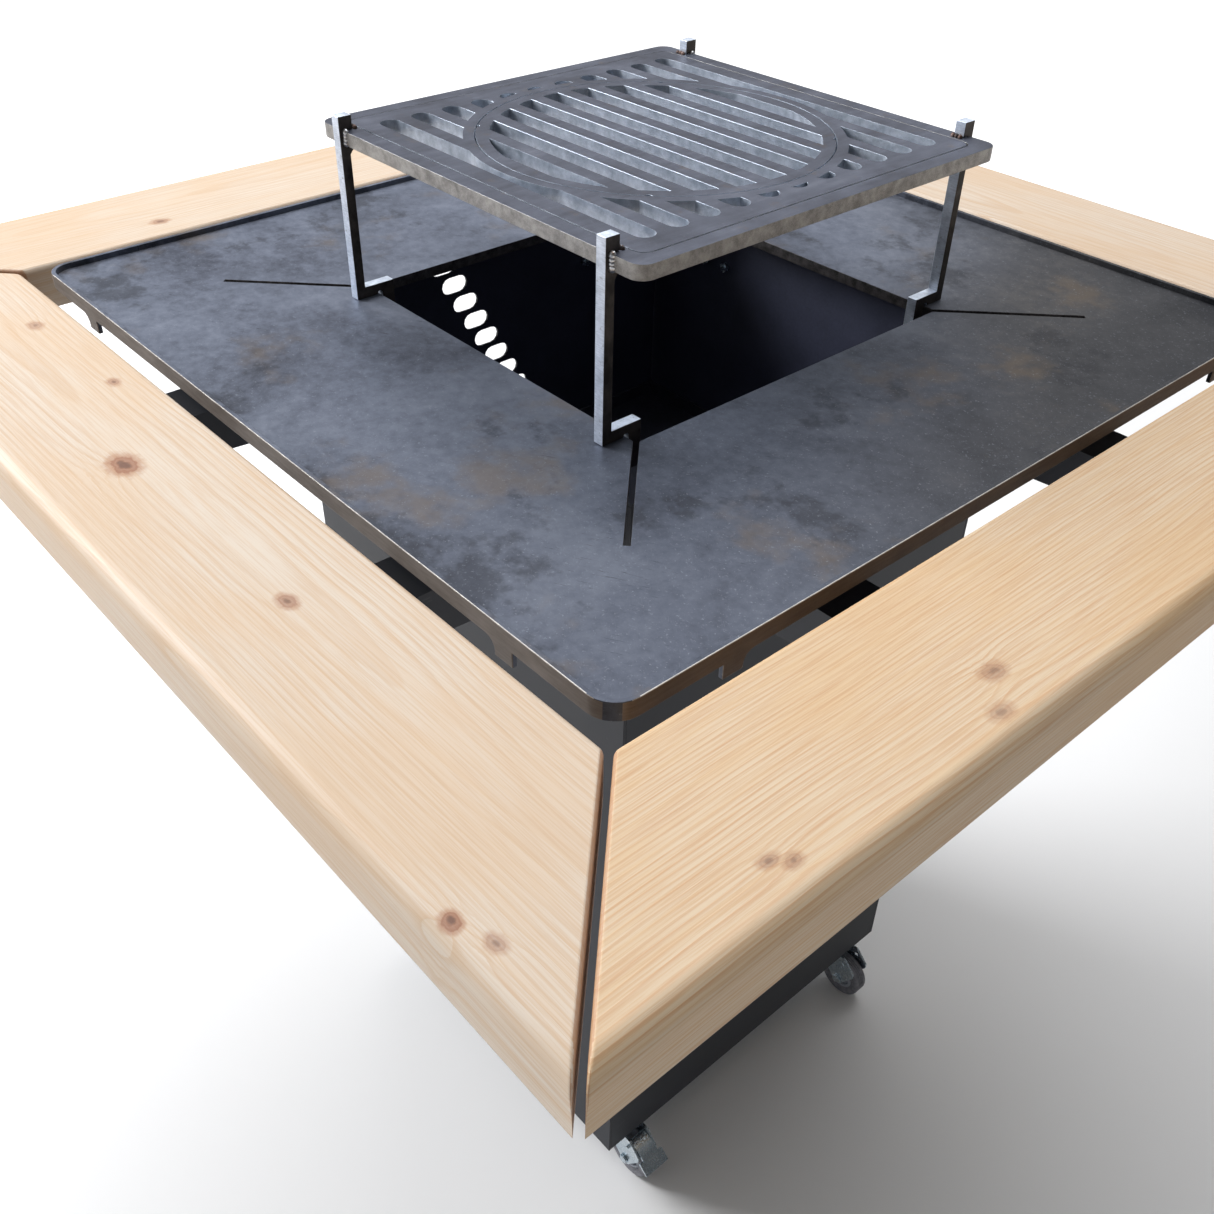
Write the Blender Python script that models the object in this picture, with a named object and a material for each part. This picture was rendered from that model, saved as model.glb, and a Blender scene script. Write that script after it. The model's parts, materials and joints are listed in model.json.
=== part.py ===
"""Garden fire pit on castors: a steel firebox with a griddle plate, a lift-off grill grate
and a pine table edge carried on steel arms.

Metres, +Z up. The origin is on the floor under the middle of the firebox. The front is -Y.
"""

import math

import bmesh
import bpy
from mathutils import Matrix, Vector

# ---------------------------------------------------------------- driving dimensions
FIT = 0.0003  # gap left between touching pieces
OVERCUT = 0.002  # how far a cutter runs past the face it cuts

BODY_SIDE = 0.472
BODY_HEIGHT = 0.881
SHEET = 0.003  # wall of the body
BASE_T = 0.004
FIRE_DEPTH = 0.260  # top of the body down to the fire floor
FIRE_FLANGE = 0.016  # upturned edge of the fire floor
VENT_LENGTH = 0.031
VENT_WIDTH = 0.018
VENT_STEP = (0.0124, -0.0228)  # along the wall and down it, from one vent to the next
VENT_FIRST = (-0.066, -0.018)  # middle of the first vent, from the wall's middle and top
VENT_COUNT = 9

GRIDDLE_SIDE = 0.800
GRIDDLE_T = 0.010
HOLE_SIDE = 0.368
SLIT_W = 0.005
SLIT_LENGTH = 0.135
RIM_T = 0.004
RIM_PROUD = 0.005  # rim above the cooking face
RIM_CORNER_R = 0.022
TAB_W = 0.018
TAB_DROP = 0.012  # tab below the rim
TAB_FILLET = 0.009
TAB_OFFSET = 0.300  # tab's middle from the middle of the side

GRATE_OVER_HOLE = 0.019  # grate past the griddle's hole on each side
GRATE_T = 0.012
GRATE_LIFT = 0.137  # cooking face of the griddle up to the underside of the grate
GRATE_CORNER_R = 0.012
KERF = 0.001  # saw gap round the lift-out panel and the insert
FRAME_W = 0.016
PANEL_CORNER_R = 0.010
INSERT_SHARE = 0.810  # insert's diameter as a share of the panel's side; the next five likewise
SLOT_PITCH_SHARE = 0.0856
SLOT_W_SHARE = 0.0481
SLOT_REACH_SHARE = 0.898  # from tip to tip of a row of slots
SLOT_BAND_SHARE = 0.0254  # solid band between the insert and the panel slots
INSERT_BAND_SHARE = 0.0294  # solid band round the insert's own slots
PANEL_SLOTS = 11
INSERT_SLOTS = 9
NOTCH_R = 0.0025  # finger notches on the insert's edge
REST_T = 0.003  # rests welded under the frame and under the panel
REST_LIP = 0.009  # how far a rest reaches under the piece it carries
REST_GAP = 0.001  # rest to the legs' shoulders

LEG_T = 0.010  # thickness of the steel the legs are cut from
LEG_BAR = 0.009
LEG_PROUD = 0.005  # leg outside the grate's edge
LEG_INSET = 0.035  # leg's middle from the grate's corner
EAR_REACH = 0.004
EAR_H = 0.012
SHOULDER_H = 0.008
FOOT_H = 0.010
HOOK_T = 0.0125
HOOK_DROP = 0.030
HOOK_GAP = 0.0025
RELIEF_R = 0.0028

RIM_TO_PLANK = 0.017
PLANK_WIDTH = 0.143
PLANK_T = 0.042
PLANK_GAP = 0.0055  # open mitre between two planks
PLANK_OUTER_R = 0.014
PLANK_INNER_R = 0.005
PLANK_MITRE_R = 0.008

ARM_NEAR = 0.137  # near flank of an arm from the middle of its side
ARM_W = 0.052
ARM_H = 0.050
ARM_TIP_H = 0.030
ARM_SHORT = 0.020  # arm's tip inside the plank's outer edge
FLANGE_NEAR = 0.103  # near edge of the arm's wall plate from the middle of its side
BOLT_R = 0.003
BOLT_HOLE_R = 0.0033
BOLT_OFFSET = 0.136  # middle of a bolt pair from the middle of its side
BOLT_SPACING = 0.030
BOLT_DROP = 0.028  # bolt below the arm's top
BOLT_END = 0.003  # bolt showing past its nut
HEX_R = 0.0057  # corner radius of a bolt head
HEAD_T = 0.004
NUT_T = 0.005
STRIP_T = 0.0015
STRIP_EDGE = 0.008  # bolt to the edges of the washer strip
STRIP_ROOM = 0.001  # arm's cut-out round the washer strip

CASTOR_INSET = (0.031, 0.043)  # swivel axis inside the body's side and front faces
CASTOR_HEAD = 0.024  # top of the wheel to the underside of the body
WHEEL_R = 0.030
WHEEL_W = 0.020
HUB_R = 0.0185
HUB_BOSS_R = 0.008
HUB_BOSS_FILLET = 0.001
HUB_DISH = 0.005  # web below the tyre's side
HUB_LIP = 0.003
TRAIL = 0.028
TOP_PLATE = 0.050
TOP_PLATE_T = 0.0025
TOP_PLATE_CORNER_R = 0.005
RACE_R = 0.018
RACE_H = 0.006
KINGPIN_R = 0.004
KINGPIN_HEAD_R = 0.007
KINGPIN_HEAD_T = 0.0025
FORK_T = 0.0025
FORK_SIDE_GAP = 0.0018  # tyre's side to cheek
CHEEK_FRONT = 0.010  # height of the cheeks' front edge
CHEEK_TIP = 0.017  # pedal pin to the cheeks' trailing corner
EYE_R = 0.009  # cheek round the axle
AXLE_R = 0.0035
AXLE_HEAD_R = 0.006
AXLE_HEAD_T = 0.003
PEDAL_PIN_STEP = (0.006, 0.0045)  # pedal's pin behind the axle and above the wheel
PEDAL_PIN_R = 0.0022
PEDAL_W = 0.034
PEDAL_NECK = 0.0205  # pin to the foot of the neck, along the trail
PEDAL_TREAD = 0.0130
PEDAL_T = 0.0026
SEGMENTS = 28

# ---------------------------------------------------------------- levels and places
BODY_HALF = BODY_SIDE / 2
CASTOR_HEIGHT = 2 * WHEEL_R + CASTOR_HEAD
PEDAL_PIN = (TRAIL + PEDAL_PIN_STEP[0], 2 * WHEEL_R + PEDAL_PIN_STEP[1])
BODY_BOTTOM = CASTOR_HEIGHT
BODY_TOP = BODY_BOTTOM + BODY_HEIGHT
GRATE_SIDE = HOLE_SIDE + 2 * GRATE_OVER_HOLE
PANEL_SIDE = GRATE_SIDE - 2 * FRAME_W
INSERT_R = PANEL_SIDE * INSERT_SHARE / 2
SLOT_PITCH = PANEL_SIDE * SLOT_PITCH_SHARE
SLOT_W = PANEL_SIDE * SLOT_W_SHARE
SLOT_END = PANEL_SIDE * SLOT_REACH_SHARE / 2  # outer tip of a panel slot from the middle
SLOT_BAND = PANEL_SIDE * SLOT_BAND_SHARE
INSERT_BAND = PANEL_SIDE * INSERT_BAND_SHARE
LEG_OFFSET = GRATE_SIDE / 2 - LEG_INSET
GRIDDLE_BOTTOM = BODY_TOP + FIT
GRIDDLE_TOP = GRIDDLE_BOTTOM + GRIDDLE_T
RIM_TOP = GRIDDLE_TOP + RIM_PROUD
GRATE_BOTTOM = GRIDDLE_TOP + GRATE_LIFT
GRATE_TOP = GRATE_BOTTOM + GRATE_T
PLANK_TOP = GRIDDLE_TOP
PLANK_BOTTOM = PLANK_TOP - PLANK_T
PLANK_INNER = GRIDDLE_SIDE / 2 + RIM_TO_PLANK
PLANK_OUTER = PLANK_INNER + PLANK_WIDTH
ARM_TOP = PLANK_BOTTOM - FIT
CASTOR_AXIS = (BODY_HALF - CASTOR_INSET[0], BODY_HALF - CASTOR_INSET[1])
GRATE_HALF = GRATE_SIDE / 2
HOLE_HALF = HOLE_SIDE / 2

COLOURS = {
    "black_powder": ((0.030, 0.031, 0.036), 0.55, 0.0),
    "mill_scale": ((0.105, 0.118, 0.150), 0.42, 0.8),
    "rim_steel": ((0.155, 0.130, 0.112), 0.50, 0.8),
    "grate_steel": ((0.170, 0.180, 0.215), 0.42, 0.8),
    "leg_steel": ((0.330, 0.370, 0.440), 0.38, 0.9),
    "pine": ((0.780, 0.600, 0.400), 0.55, 0.0),
    "zinc": ((0.520, 0.560, 0.600), 0.30, 1.0),
    "grey_rubber": ((0.190, 0.190, 0.210), 0.70, 0.0),
    "hub_nylon": ((0.360, 0.380, 0.420), 0.50, 0.0),
}
SIDES = {"front": -math.pi / 2, "right": 0.0, "back": math.pi / 2, "left": math.pi}


# ---------------------------------------------------------------- outlines
def arc(centre, radius, start, end, steps):
    """Points on an arc, both ends included; the angles are in radians."""
    turns = [start + (end - start) * i / steps for i in range(steps + 1)]
    return [(centre[0] + radius * math.cos(a), centre[1] + radius * math.sin(a)) for a in turns]


def circle(centre, radius, steps=SEGMENTS):
    return arc(centre, radius, 0.0, math.tau, steps)[:-1]


def rounded_square(half, radius, steps=6):
    points = []
    inner = half - radius
    for i, (x, y) in enumerate(((1, 1), (-1, 1), (-1, -1), (1, -1))):
        start = i * math.pi / 2
        points += arc((x * inner, y * inner), radius, start, start + math.pi / 2, steps)
    return points


def stadium(centre, length, width, steps=6):
    """A slot with round ends, lying along the first axis."""
    reach = (length - width) / 2
    right = (centre[0] + reach, centre[1])
    left = (centre[0] - reach, centre[1])
    return (arc(right, width / 2, -math.pi / 2, math.pi / 2, steps)
            + arc(left, width / 2, math.pi / 2, 3 * math.pi / 2, steps))


def turned(points, quarter_turns):
    for _ in range(quarter_turns):
        points = [(-y, x) for x, y in points]
    return points


# ---------------------------------------------------------------- solids
def material(name):
    if name in bpy.data.materials:
        return bpy.data.materials[name]
    colour, roughness, metallic = COLOURS[name]
    made = bpy.data.materials.new(name)
    made.use_nodes = True
    shader = made.node_tree.nodes["Principled BSDF"]
    shader.inputs["Base Color"].default_value = (*colour, 1.0)
    shader.inputs["Roughness"].default_value = roughness
    shader.inputs["Metallic"].default_value = metallic
    return made


def add_object(name, bm, finish, smooth=False):
    bmesh.ops.recalc_face_normals(bm, faces=bm.faces)
    mesh = bpy.data.meshes.new(name)
    bm.to_mesh(mesh)
    bm.free()
    if smooth:
        mesh.shade_smooth()
        mesh.set_sharp_from_angle(angle=math.radians(35))
    mesh.materials.append(material(finish))
    made = bpy.data.objects.new(name, mesh)
    bpy.context.scene.collection.objects.link(made)
    return made


def prism(outline, low, high, holes=(), plane="xy"):
    """A bmesh prism over an outline with holes: plane xy runs up Z, xz runs along Y and
    yz runs along X."""
    bm = bmesh.new()
    for loop in (outline, *holes):
        verts = [bm.verts.new((x, y, low)) for x, y in loop]
        for i, vert in enumerate(verts):
            bm.edges.new((vert, verts[(i + 1) % len(verts)]))
    bmesh.ops.triangle_fill(bm, use_beauty=True, use_dissolve=False, edges=bm.edges[:])
    base = bm.faces[:]
    raised = bmesh.ops.extrude_face_region(bm, geom=base, use_keep_orig=True)["geom"]
    top = [item for item in raised if isinstance(item, bmesh.types.BMVert)]
    bmesh.ops.translate(bm, verts=top, vec=(0, 0, high - low))
    if plane == "xz":
        bmesh.ops.transform(bm, verts=bm.verts, matrix=Matrix(((1, 0, 0), (0, 0, 1), (0, 1, 0))).to_4x4())
    if plane == "yz":
        bmesh.ops.transform(bm, verts=bm.verts, matrix=Matrix(((0, 0, 1), (1, 0, 0), (0, 1, 0))).to_4x4())
    return bm


def box(low, high):
    bm = bmesh.new()
    bmesh.ops.create_cube(bm, size=1.0)
    middle = (Vector(low) + Vector(high)) / 2
    size = Vector(high) - Vector(low)
    bmesh.ops.transform(bm, verts=bm.verts, matrix=Matrix.Translation(middle) @ Matrix.Diagonal(size).to_4x4())
    return bm


def lathe(profile, segments=SEGMENTS):
    """A closed profile of (radius, height) points spun about Z; radius 0 makes a pole."""
    bm = bmesh.new()
    verts = [bm.verts.new((r, 0, z)) for r, z in profile]
    edges = [bm.edges.new((a, b)) for a, b in zip(verts, verts[1:])]
    if profile[0][0] > 0:
        edges.append(bm.edges.new((verts[-1], verts[0])))
    bmesh.ops.spin(bm, geom=verts + edges, cent=(0, 0, 0), axis=(0, 0, 1), angle=math.tau,
                   steps=segments, use_merge=True, use_duplicate=False)
    bmesh.ops.remove_doubles(bm, verts=bm.verts, dist=1e-6)
    return bm


def place(bm, move=(0, 0, 0), turn=None):
    """Turns a bmesh about the origin, then moves it."""
    if turn:
        angle, axis = turn
        bmesh.ops.transform(bm, verts=bm.verts, matrix=Matrix.Rotation(angle, 4, axis))
    bmesh.ops.translate(bm, verts=bm.verts, vec=move)
    return bm


def combine(name, finish, base, joined=(), cut=(), smooth=False):
    """The base solid with others joined to it and others cut from it, by exact booleans."""
    result = add_object(name, base, finish, smooth)
    tools = []
    for operation, solids in (("UNION", joined), ("DIFFERENCE", cut)):
        for i, solid in enumerate(solids):
            tool = add_object(f"{name}_{operation.lower()}_{i}", solid, finish)
            tool.hide_render = True
            tool.display_type = "WIRE"
            modifier = result.modifiers.new(operation.lower(), "BOOLEAN")
            modifier.operation = operation
            modifier.solver = "EXACT"
            modifier.object = tool
            tools.append(tool)
    depsgraph = bpy.context.evaluated_depsgraph_get()
    final = bpy.data.meshes.new_from_object(result.evaluated_get(depsgraph), depsgraph=depsgraph)
    result.modifiers.clear()
    result.data = final
    final.name = name
    for tool in tools:
        bpy.data.objects.remove(tool)
    return result


def copy_of(source, name):
    made = bpy.data.objects.new(name, source.data)
    bpy.context.scene.collection.objects.link(made)
    return made


def empty(name, location, turn=0.0):
    made = bpy.data.objects.new(name, None)
    made.location = location
    made.rotation_euler.z = turn
    bpy.context.scene.collection.objects.link(made)
    return made


# ---------------------------------------------------------------- firebox body
def bolt_places():
    """Where the arm bolts cross a wall, from the wall's middle."""
    spots = []
    for side in (-1, 1):
        for step in (-1, 1):
            spots.append(side * BOLT_OFFSET + step * BOLT_SPACING / 2)
    return spots


def wall_panel(name, half_width, vents=False):
    """A flat wall standing on its own X axis, its outer face at -Y of its empty."""
    outline = [(-half_width, BODY_BOTTOM), (half_width, BODY_BOTTOM),
               (half_width, BODY_TOP), (-half_width, BODY_TOP)]
    bolt_z = ARM_TOP - BOLT_DROP
    holes = [circle((x, bolt_z), BOLT_HOLE_R, 12) for x in bolt_places()]
    if vents:
        for i in range(VENT_COUNT):
            along = VENT_FIRST[0] + i * VENT_STEP[0]
            up = BODY_TOP + VENT_FIRST[1] + i * VENT_STEP[1]
            holes.append(stadium((-along, up), VENT_LENGTH, VENT_WIDTH))
    return add_object(name, prism(outline, -BODY_HALF, -BODY_HALF + SHEET, holes, "xz"), "black_powder")


def firebox_body():
    inside = BODY_HALF - SHEET - FIT
    for side in ("front", "back"):
        wall_panel(f"body_{side}_panel", BODY_HALF).rotation_euler.z = SIDES[side] + math.pi / 2
    for side in ("left", "right"):
        panel = wall_panel(f"body_{side}_panel", inside, vents=side == "left")
        panel.rotation_euler.z = SIDES[side] + math.pi / 2
    add_object("base_plate", box((-inside, -inside, BODY_BOTTOM), (inside, inside, BODY_BOTTOM + BASE_T)),
               "black_powder")
    floor_z = BODY_TOP - FIRE_DEPTH
    tray = box((-inside, -inside, floor_z - SHEET), (inside, inside, floor_z + FIRE_FLANGE))
    tray.faces.ensure_lookup_table()
    lid = [face for face in tray.faces if face.normal.z > 0.5]
    bmesh.ops.inset_region(tray, faces=lid, thickness=SHEET, use_even_offset=True)
    sunk = bmesh.ops.extrude_face_region(tray, geom=lid)["geom"]
    bmesh.ops.delete(tray, geom=lid, context="FACES_ONLY")
    inner = [item for item in sunk if isinstance(item, bmesh.types.BMVert)]
    bmesh.ops.translate(tray, verts=inner, vec=(0, 0, -FIRE_FLANGE))
    add_object("fire_floor", tray, "black_powder")


# ---------------------------------------------------------------- griddle
def griddle_plate():
    half = GRIDDLE_SIDE / 2 - RIM_T - FIT
    reach = HOLE_HALF + SLIT_LENGTH / math.sqrt(2)
    shift = SLIT_W / 2 * math.sqrt(2)
    step = SLIT_W / 2 / math.sqrt(2)
    corner = [(HOLE_HALF, HOLE_HALF - shift), (reach + step, reach - step),
              (reach - step, reach + step), (HOLE_HALF - shift, HOLE_HALF)]
    hole = []
    for quarter in range(4):
        hole += turned(corner, quarter)
    outline = rounded_square(half, RIM_CORNER_R - RIM_T - FIT)
    add_object("griddle_plate", prism(outline, GRIDDLE_BOTTOM, GRIDDLE_TOP, [hole]), "mill_scale")


def rim_tab(offset, side, hand):
    """A tab hanging from the rim, filleted on one edge."""
    low = GRIDDLE_BOTTOM - TAB_DROP
    half = TAB_W / 2
    inside = GRIDDLE_BOTTOM + GRIDDLE_T / 2
    outline = [(-half - TAB_FILLET, inside), (-half - TAB_FILLET, GRIDDLE_BOTTOM)]
    outline += arc((-half - TAB_FILLET, GRIDDLE_BOTTOM - TAB_FILLET), TAB_FILLET, math.pi / 2, 0, 4)[1:]
    outline += [(-half, low), (half, low), (half, inside)]
    face = -GRIDDLE_SIDE / 2
    tab = prism([(offset + hand * x, z) for x, z in outline], face, face + RIM_T, plane="xz")
    return place(tab, turn=(SIDES[side] + math.pi / 2, "Z"))


def griddle_rim():
    outer = rounded_square(GRIDDLE_SIDE / 2, RIM_CORNER_R)
    inner = rounded_square(GRIDDLE_SIDE / 2 - RIM_T, RIM_CORNER_R - RIM_T)
    hands = {"front": 1, "right": -1, "back": 1, "left": -1}
    tabs = [rim_tab(offset, side, hand) for side, hand in hands.items() for offset in (-TAB_OFFSET, TAB_OFFSET)]
    combine("griddle_rim", "rim_steel", prism(outer, GRIDDLE_BOTTOM, RIM_TOP, [inner]), joined=tabs)


# ---------------------------------------------------------------- grate
def grate_frame():
    """The outer frame, notched where the legs are let into its edge."""
    corner = GRATE_HALF - GRATE_CORNER_R
    notch_deep = LEG_BAR - LEG_PROUD + FIT
    notch_half = LEG_T / 2 + FIT
    edge = []
    for x in (LEG_OFFSET, -LEG_OFFSET):
        edge += [(x + notch_half, GRATE_HALF), (x + notch_half, GRATE_HALF - notch_deep),
                 (x - notch_half, GRATE_HALF - notch_deep), (x - notch_half, GRATE_HALF)]
    corners = [arc((x * corner, y * corner), GRATE_CORNER_R, i * math.pi / 2, (i + 1) * math.pi / 2, 6)
               for i, (x, y) in enumerate(((1, 1), (-1, 1), (-1, -1), (1, -1)))]
    outline = corners[0] + edge + corners[1] + corners[2] + [(-x, -y) for x, y in edge] + corners[3]
    opening = rounded_square(PANEL_SIDE / 2 + KERF, PANEL_CORNER_R + KERF)
    add_object("grate_frame", prism(outline, GRATE_BOTTOM, GRATE_TOP, [opening]), "grate_steel")
    low = GRATE_BOTTOM - FIT - REST_T
    outer = rounded_square(GRATE_HALF + LEG_PROUD - LEG_BAR - EAR_REACH - REST_GAP, PANEL_CORNER_R)
    inner = rounded_square(PANEL_SIDE / 2 - REST_LIP, PANEL_CORNER_R / 2)
    add_object("panel_rest", prism(outer, low, low + REST_T, [inner]), "grate_steel")


def panel_slot(row):
    """The one or two slots of a row, round at the outer ends and cut back by the ring."""
    y = abs(row) * SLOT_PITCH
    ring = INSERT_R + KERF + SLOT_BAND
    radius = SLOT_W / 2
    end = (SLOT_END - radius, y)
    away = math.hypot(*end)
    bearing = math.atan2(y, end[0])
    first, last = -math.pi / 2, math.pi / 2
    low, high = math.asin((y - radius) / ring), math.asin(min((y + radius) / ring, 1.0))
    overlap = (away ** 2 + radius ** 2 - ring ** 2) / (2 * away * radius)
    if overlap < 1.0:
        spread = math.acos(overlap)
        if bearing - math.pi + spread > first:
            first = bearing - math.pi + spread
            low = math.atan2(y + radius * math.sin(first), end[0] + radius * math.cos(first))
        if bearing + math.pi - spread < last:
            last = bearing + math.pi - spread
            high = math.atan2(y + radius * math.sin(last), end[0] + radius * math.cos(last))
    tip = arc(end, radius, first, last, 8)
    if y + radius < ring:
        right = without_doubles(tip + arc((0, 0), ring, high, low, 5))
        shapes = [right, [(-x, v) for x, v in right]]
    else:
        shapes = [tip + [(-x, v) for x, v in reversed(tip)] + arc((0, 0), ring, math.pi - low, low, 20)]
    if row < 0:
        shapes = [[(x, -v) for x, v in shape] for shape in shapes]
    return shapes


def without_doubles(points):
    return [p for i, p in enumerate(points) if math.dist(p, points[i - 1]) > 1e-5]


def grate_panel():
    half = PANEL_SIDE / 2
    rows = range(-(PANEL_SLOTS // 2), PANEL_SLOTS // 2 + 1)
    holes = [circle((0, 0), INSERT_R + KERF, 72)]
    for row in rows:
        holes += panel_slot(row)
    add_object("grate_panel", prism(rounded_square(half, PANEL_CORNER_R), GRATE_BOTTOM, GRATE_TOP, holes),
               "grate_steel")
    low = GRATE_BOTTOM - FIT - REST_T
    ring = prism(circle((0, 0), INSERT_R + KERF + SLOT_BAND, 48), low, low + REST_T,
                 [circle((0, 0), INSERT_R - REST_LIP, 48)])
    add_object("insert_rest", ring, "grate_steel")


def insert_slot(row):
    """A slot across the insert, cut off at both ends by the ring."""
    y = row * SLOT_PITCH
    ring = INSERT_R - INSERT_BAND
    low, high = y - SLOT_W / 2, y + SLOT_W / 2
    right = arc((0, 0), ring, math.asin(low / ring), math.asin(high / ring), 4)
    return right + [(-x, v) for x, v in reversed(right)]


def insert_outline():
    """The insert's round edge with four small finger notches."""
    points = []
    half = math.asin(NOTCH_R / INSERT_R)
    for quarter in range(4):
        middle = quarter * math.pi / 2 + math.pi / 4
        points += arc((0, 0), INSERT_R, middle + half - math.pi / 2, middle - half, 18)
        centre = (INSERT_R * math.cos(middle), INSERT_R * math.sin(middle))
        points += arc(centre, NOTCH_R, middle - math.pi / 2, middle - 3 * math.pi / 2, 4)[1:-1]
    return points


def grate_insert():
    rows = range(-(INSERT_SLOTS // 2), INSERT_SLOTS // 2 + 1)
    slots = [insert_slot(row) for row in rows]
    add_object("grate_insert", prism(insert_outline(), GRATE_BOTTOM, GRATE_TOP, slots), "grate_steel")


def leg_profile():
    """One leg seen from the side: distance outwards from the middle, then height."""
    outer = GRATE_HALF + LEG_PROUD
    inner = outer - LEG_BAR
    jaw = inner - EAR_REACH
    base = GRIDDLE_TOP + FIT
    foot = base + FOOT_H
    hook_outer = HOLE_HALF - HOOK_GAP
    hook_inner = hook_outer - HOOK_T
    hook_low = GRIDDLE_TOP - HOOK_DROP
    top = GRATE_TOP + FIT
    under = GRATE_BOTTOM - FIT - REST_T / 2
    points = [(outer, base), (outer, top + EAR_H), (jaw, top + EAR_H), (jaw, top),
              (inner, top), (inner, GRATE_BOTTOM - FIT), (jaw, GRATE_BOTTOM - FIT)]
    points += arc((inner, under), EAR_REACH, math.pi, 3 * math.pi / 2, 3)[:-1]
    points += [(inner, GRATE_BOTTOM - SHOULDER_H), (inner, foot), (hook_inner, foot),
               (hook_inner, hook_low), (hook_outer, hook_low)]
    left, right = hook_outer, HOLE_HALF + RELIEF_R
    points += [(left, base + RELIEF_R * 0.4), (left + (right - left) * 0.3, base + RELIEF_R),
               (left + (right - left) * 0.7, base + RELIEF_R), (right, base + RELIEF_R * 0.4), (right, base)]
    return points


def grate_legs():
    for side, sign in (("front", -1), ("back", 1)):
        for end, x in (("left", -LEG_OFFSET), ("right", LEG_OFFSET)):
            profile = [(sign * v, z) for v, z in leg_profile()]
            leg = prism(profile, x - LEG_T / 2, x + LEG_T / 2, plane="yz")
            add_object(f"grate_leg_{side}_{end}", leg, "leg_steel")


# ---------------------------------------------------------------- table edge
def long_edges(bm, y):
    """The top edges that lie along X at this y."""
    found = []
    for edge in bm.edges:
        a, b = (vert.co for vert in edge.verts)
        along = abs(a.y - y) < 1e-5 and abs(b.y - y) < 1e-5
        if along and a.z > PLANK_TOP - 1e-5 and b.z > PLANK_TOP - 1e-5:
            found.append(edge)
    return found


def end_edges(bm):
    """The edges of the two mitred ends, apart from the bottom ones and the upright ones."""
    ends = [face for face in bm.faces if abs(face.normal.x) > 0.6 and abs(face.normal.y) > 0.6]
    floor = PLANK_BOTTOM + 1e-5
    found = set()
    for face in ends:
        for edge in face.edges:
            a, b = edge.verts
            upright = (a.co - b.co).xy.length < 1e-6
            if a.co.z > floor and b.co.z > floor and not upright:
                found.add(edge)
    return list(found)


def round_over(bm, edges, radius, segments):
    bmesh.ops.bevel(bm, geom=edges, offset=radius, offset_type="OFFSET", segments=segments, profile=0.5,
                    affect="EDGES", clamp_overlap=True, material=-1)


def planks():
    back = PLANK_GAP / 2 * math.sqrt(2)
    outline = [(-PLANK_INNER + back, -PLANK_INNER), (-PLANK_OUTER + back, -PLANK_OUTER),
               (PLANK_OUTER - back, -PLANK_OUTER), (PLANK_INNER - back, -PLANK_INNER)]
    bm = bmesh.new()
    face = bm.faces.new([bm.verts.new((x, y, PLANK_BOTTOM)) for x, y in outline])
    raised = bmesh.ops.extrude_face_region(bm, geom=[face], use_keep_orig=True)["geom"]
    top = [item for item in raised if isinstance(item, bmesh.types.BMVert)]
    bmesh.ops.translate(bm, verts=top, vec=(0, 0, PLANK_T))
    bmesh.ops.recalc_face_normals(bm, faces=bm.faces)
    round_over(bm, long_edges(bm, -PLANK_OUTER), PLANK_OUTER_R, 3)
    round_over(bm, long_edges(bm, -PLANK_INNER), PLANK_INNER_R, 2)
    round_over(bm, end_edges(bm), PLANK_MITRE_R, 3)
    first = add_object("table_plank_front", bm, "pine")
    for side in ("right", "back", "left"):
        copy_of(first, f"table_plank_{side}").rotation_euler.z = SIDES[side] + math.pi / 2


def on_hand(hand, near, far):
    """A range across a side, measured from its middle towards one hand."""
    return tuple(sorted((hand * near, hand * far)))


def arm_solid(name, hand):
    """A folded channel arm on a wall plate, reaching along +X from the body's right face."""
    start = BODY_HALF + FIT
    end = PLANK_OUTER - ARM_SHORT
    low = ARM_TOP - ARM_H
    bolt_z = ARM_TOP - BOLT_DROP
    far = ARM_NEAR + ARM_W
    side = [(start, low), (end, ARM_TOP - ARM_TIP_H), (end, ARM_TOP), (start, ARM_TOP)]
    left, right = on_hand(hand, FLANGE_NEAR, far)
    flange = box((start, left, low), (start + SHEET, right, ARM_TOP))
    left, right = on_hand(hand, ARM_NEAR + SHEET, far - SHEET)
    hollow = box((start + SHEET, left, low - OVERCUT), (end - SHEET, right, ARM_TOP - SHEET))
    left, right = on_hand(hand, ARM_NEAR - OVERCUT, ARM_NEAR + SHEET + OVERCUT)
    room = STRIP_EDGE + STRIP_ROOM
    notch = box((start + SHEET, left, bolt_z - room),
                (start + SHEET + STRIP_T + STRIP_ROOM, right, bolt_z + room))
    holes = []
    for step in (-1, 1):
        spot = (start, hand * BOLT_OFFSET + step * BOLT_SPACING / 2, bolt_z)
        hole = prism(circle((0, 0), BOLT_HOLE_R, 12), -SHEET * 2, SHEET * 2)
        holes.append(place(hole, spot, (math.pi / 2, "Y")))
    channel = prism(side, *on_hand(hand, ARM_NEAR, far), plane="xz")
    return combine(name, "black_powder", channel, joined=[flange], cut=[hollow, notch, *holes])


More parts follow.
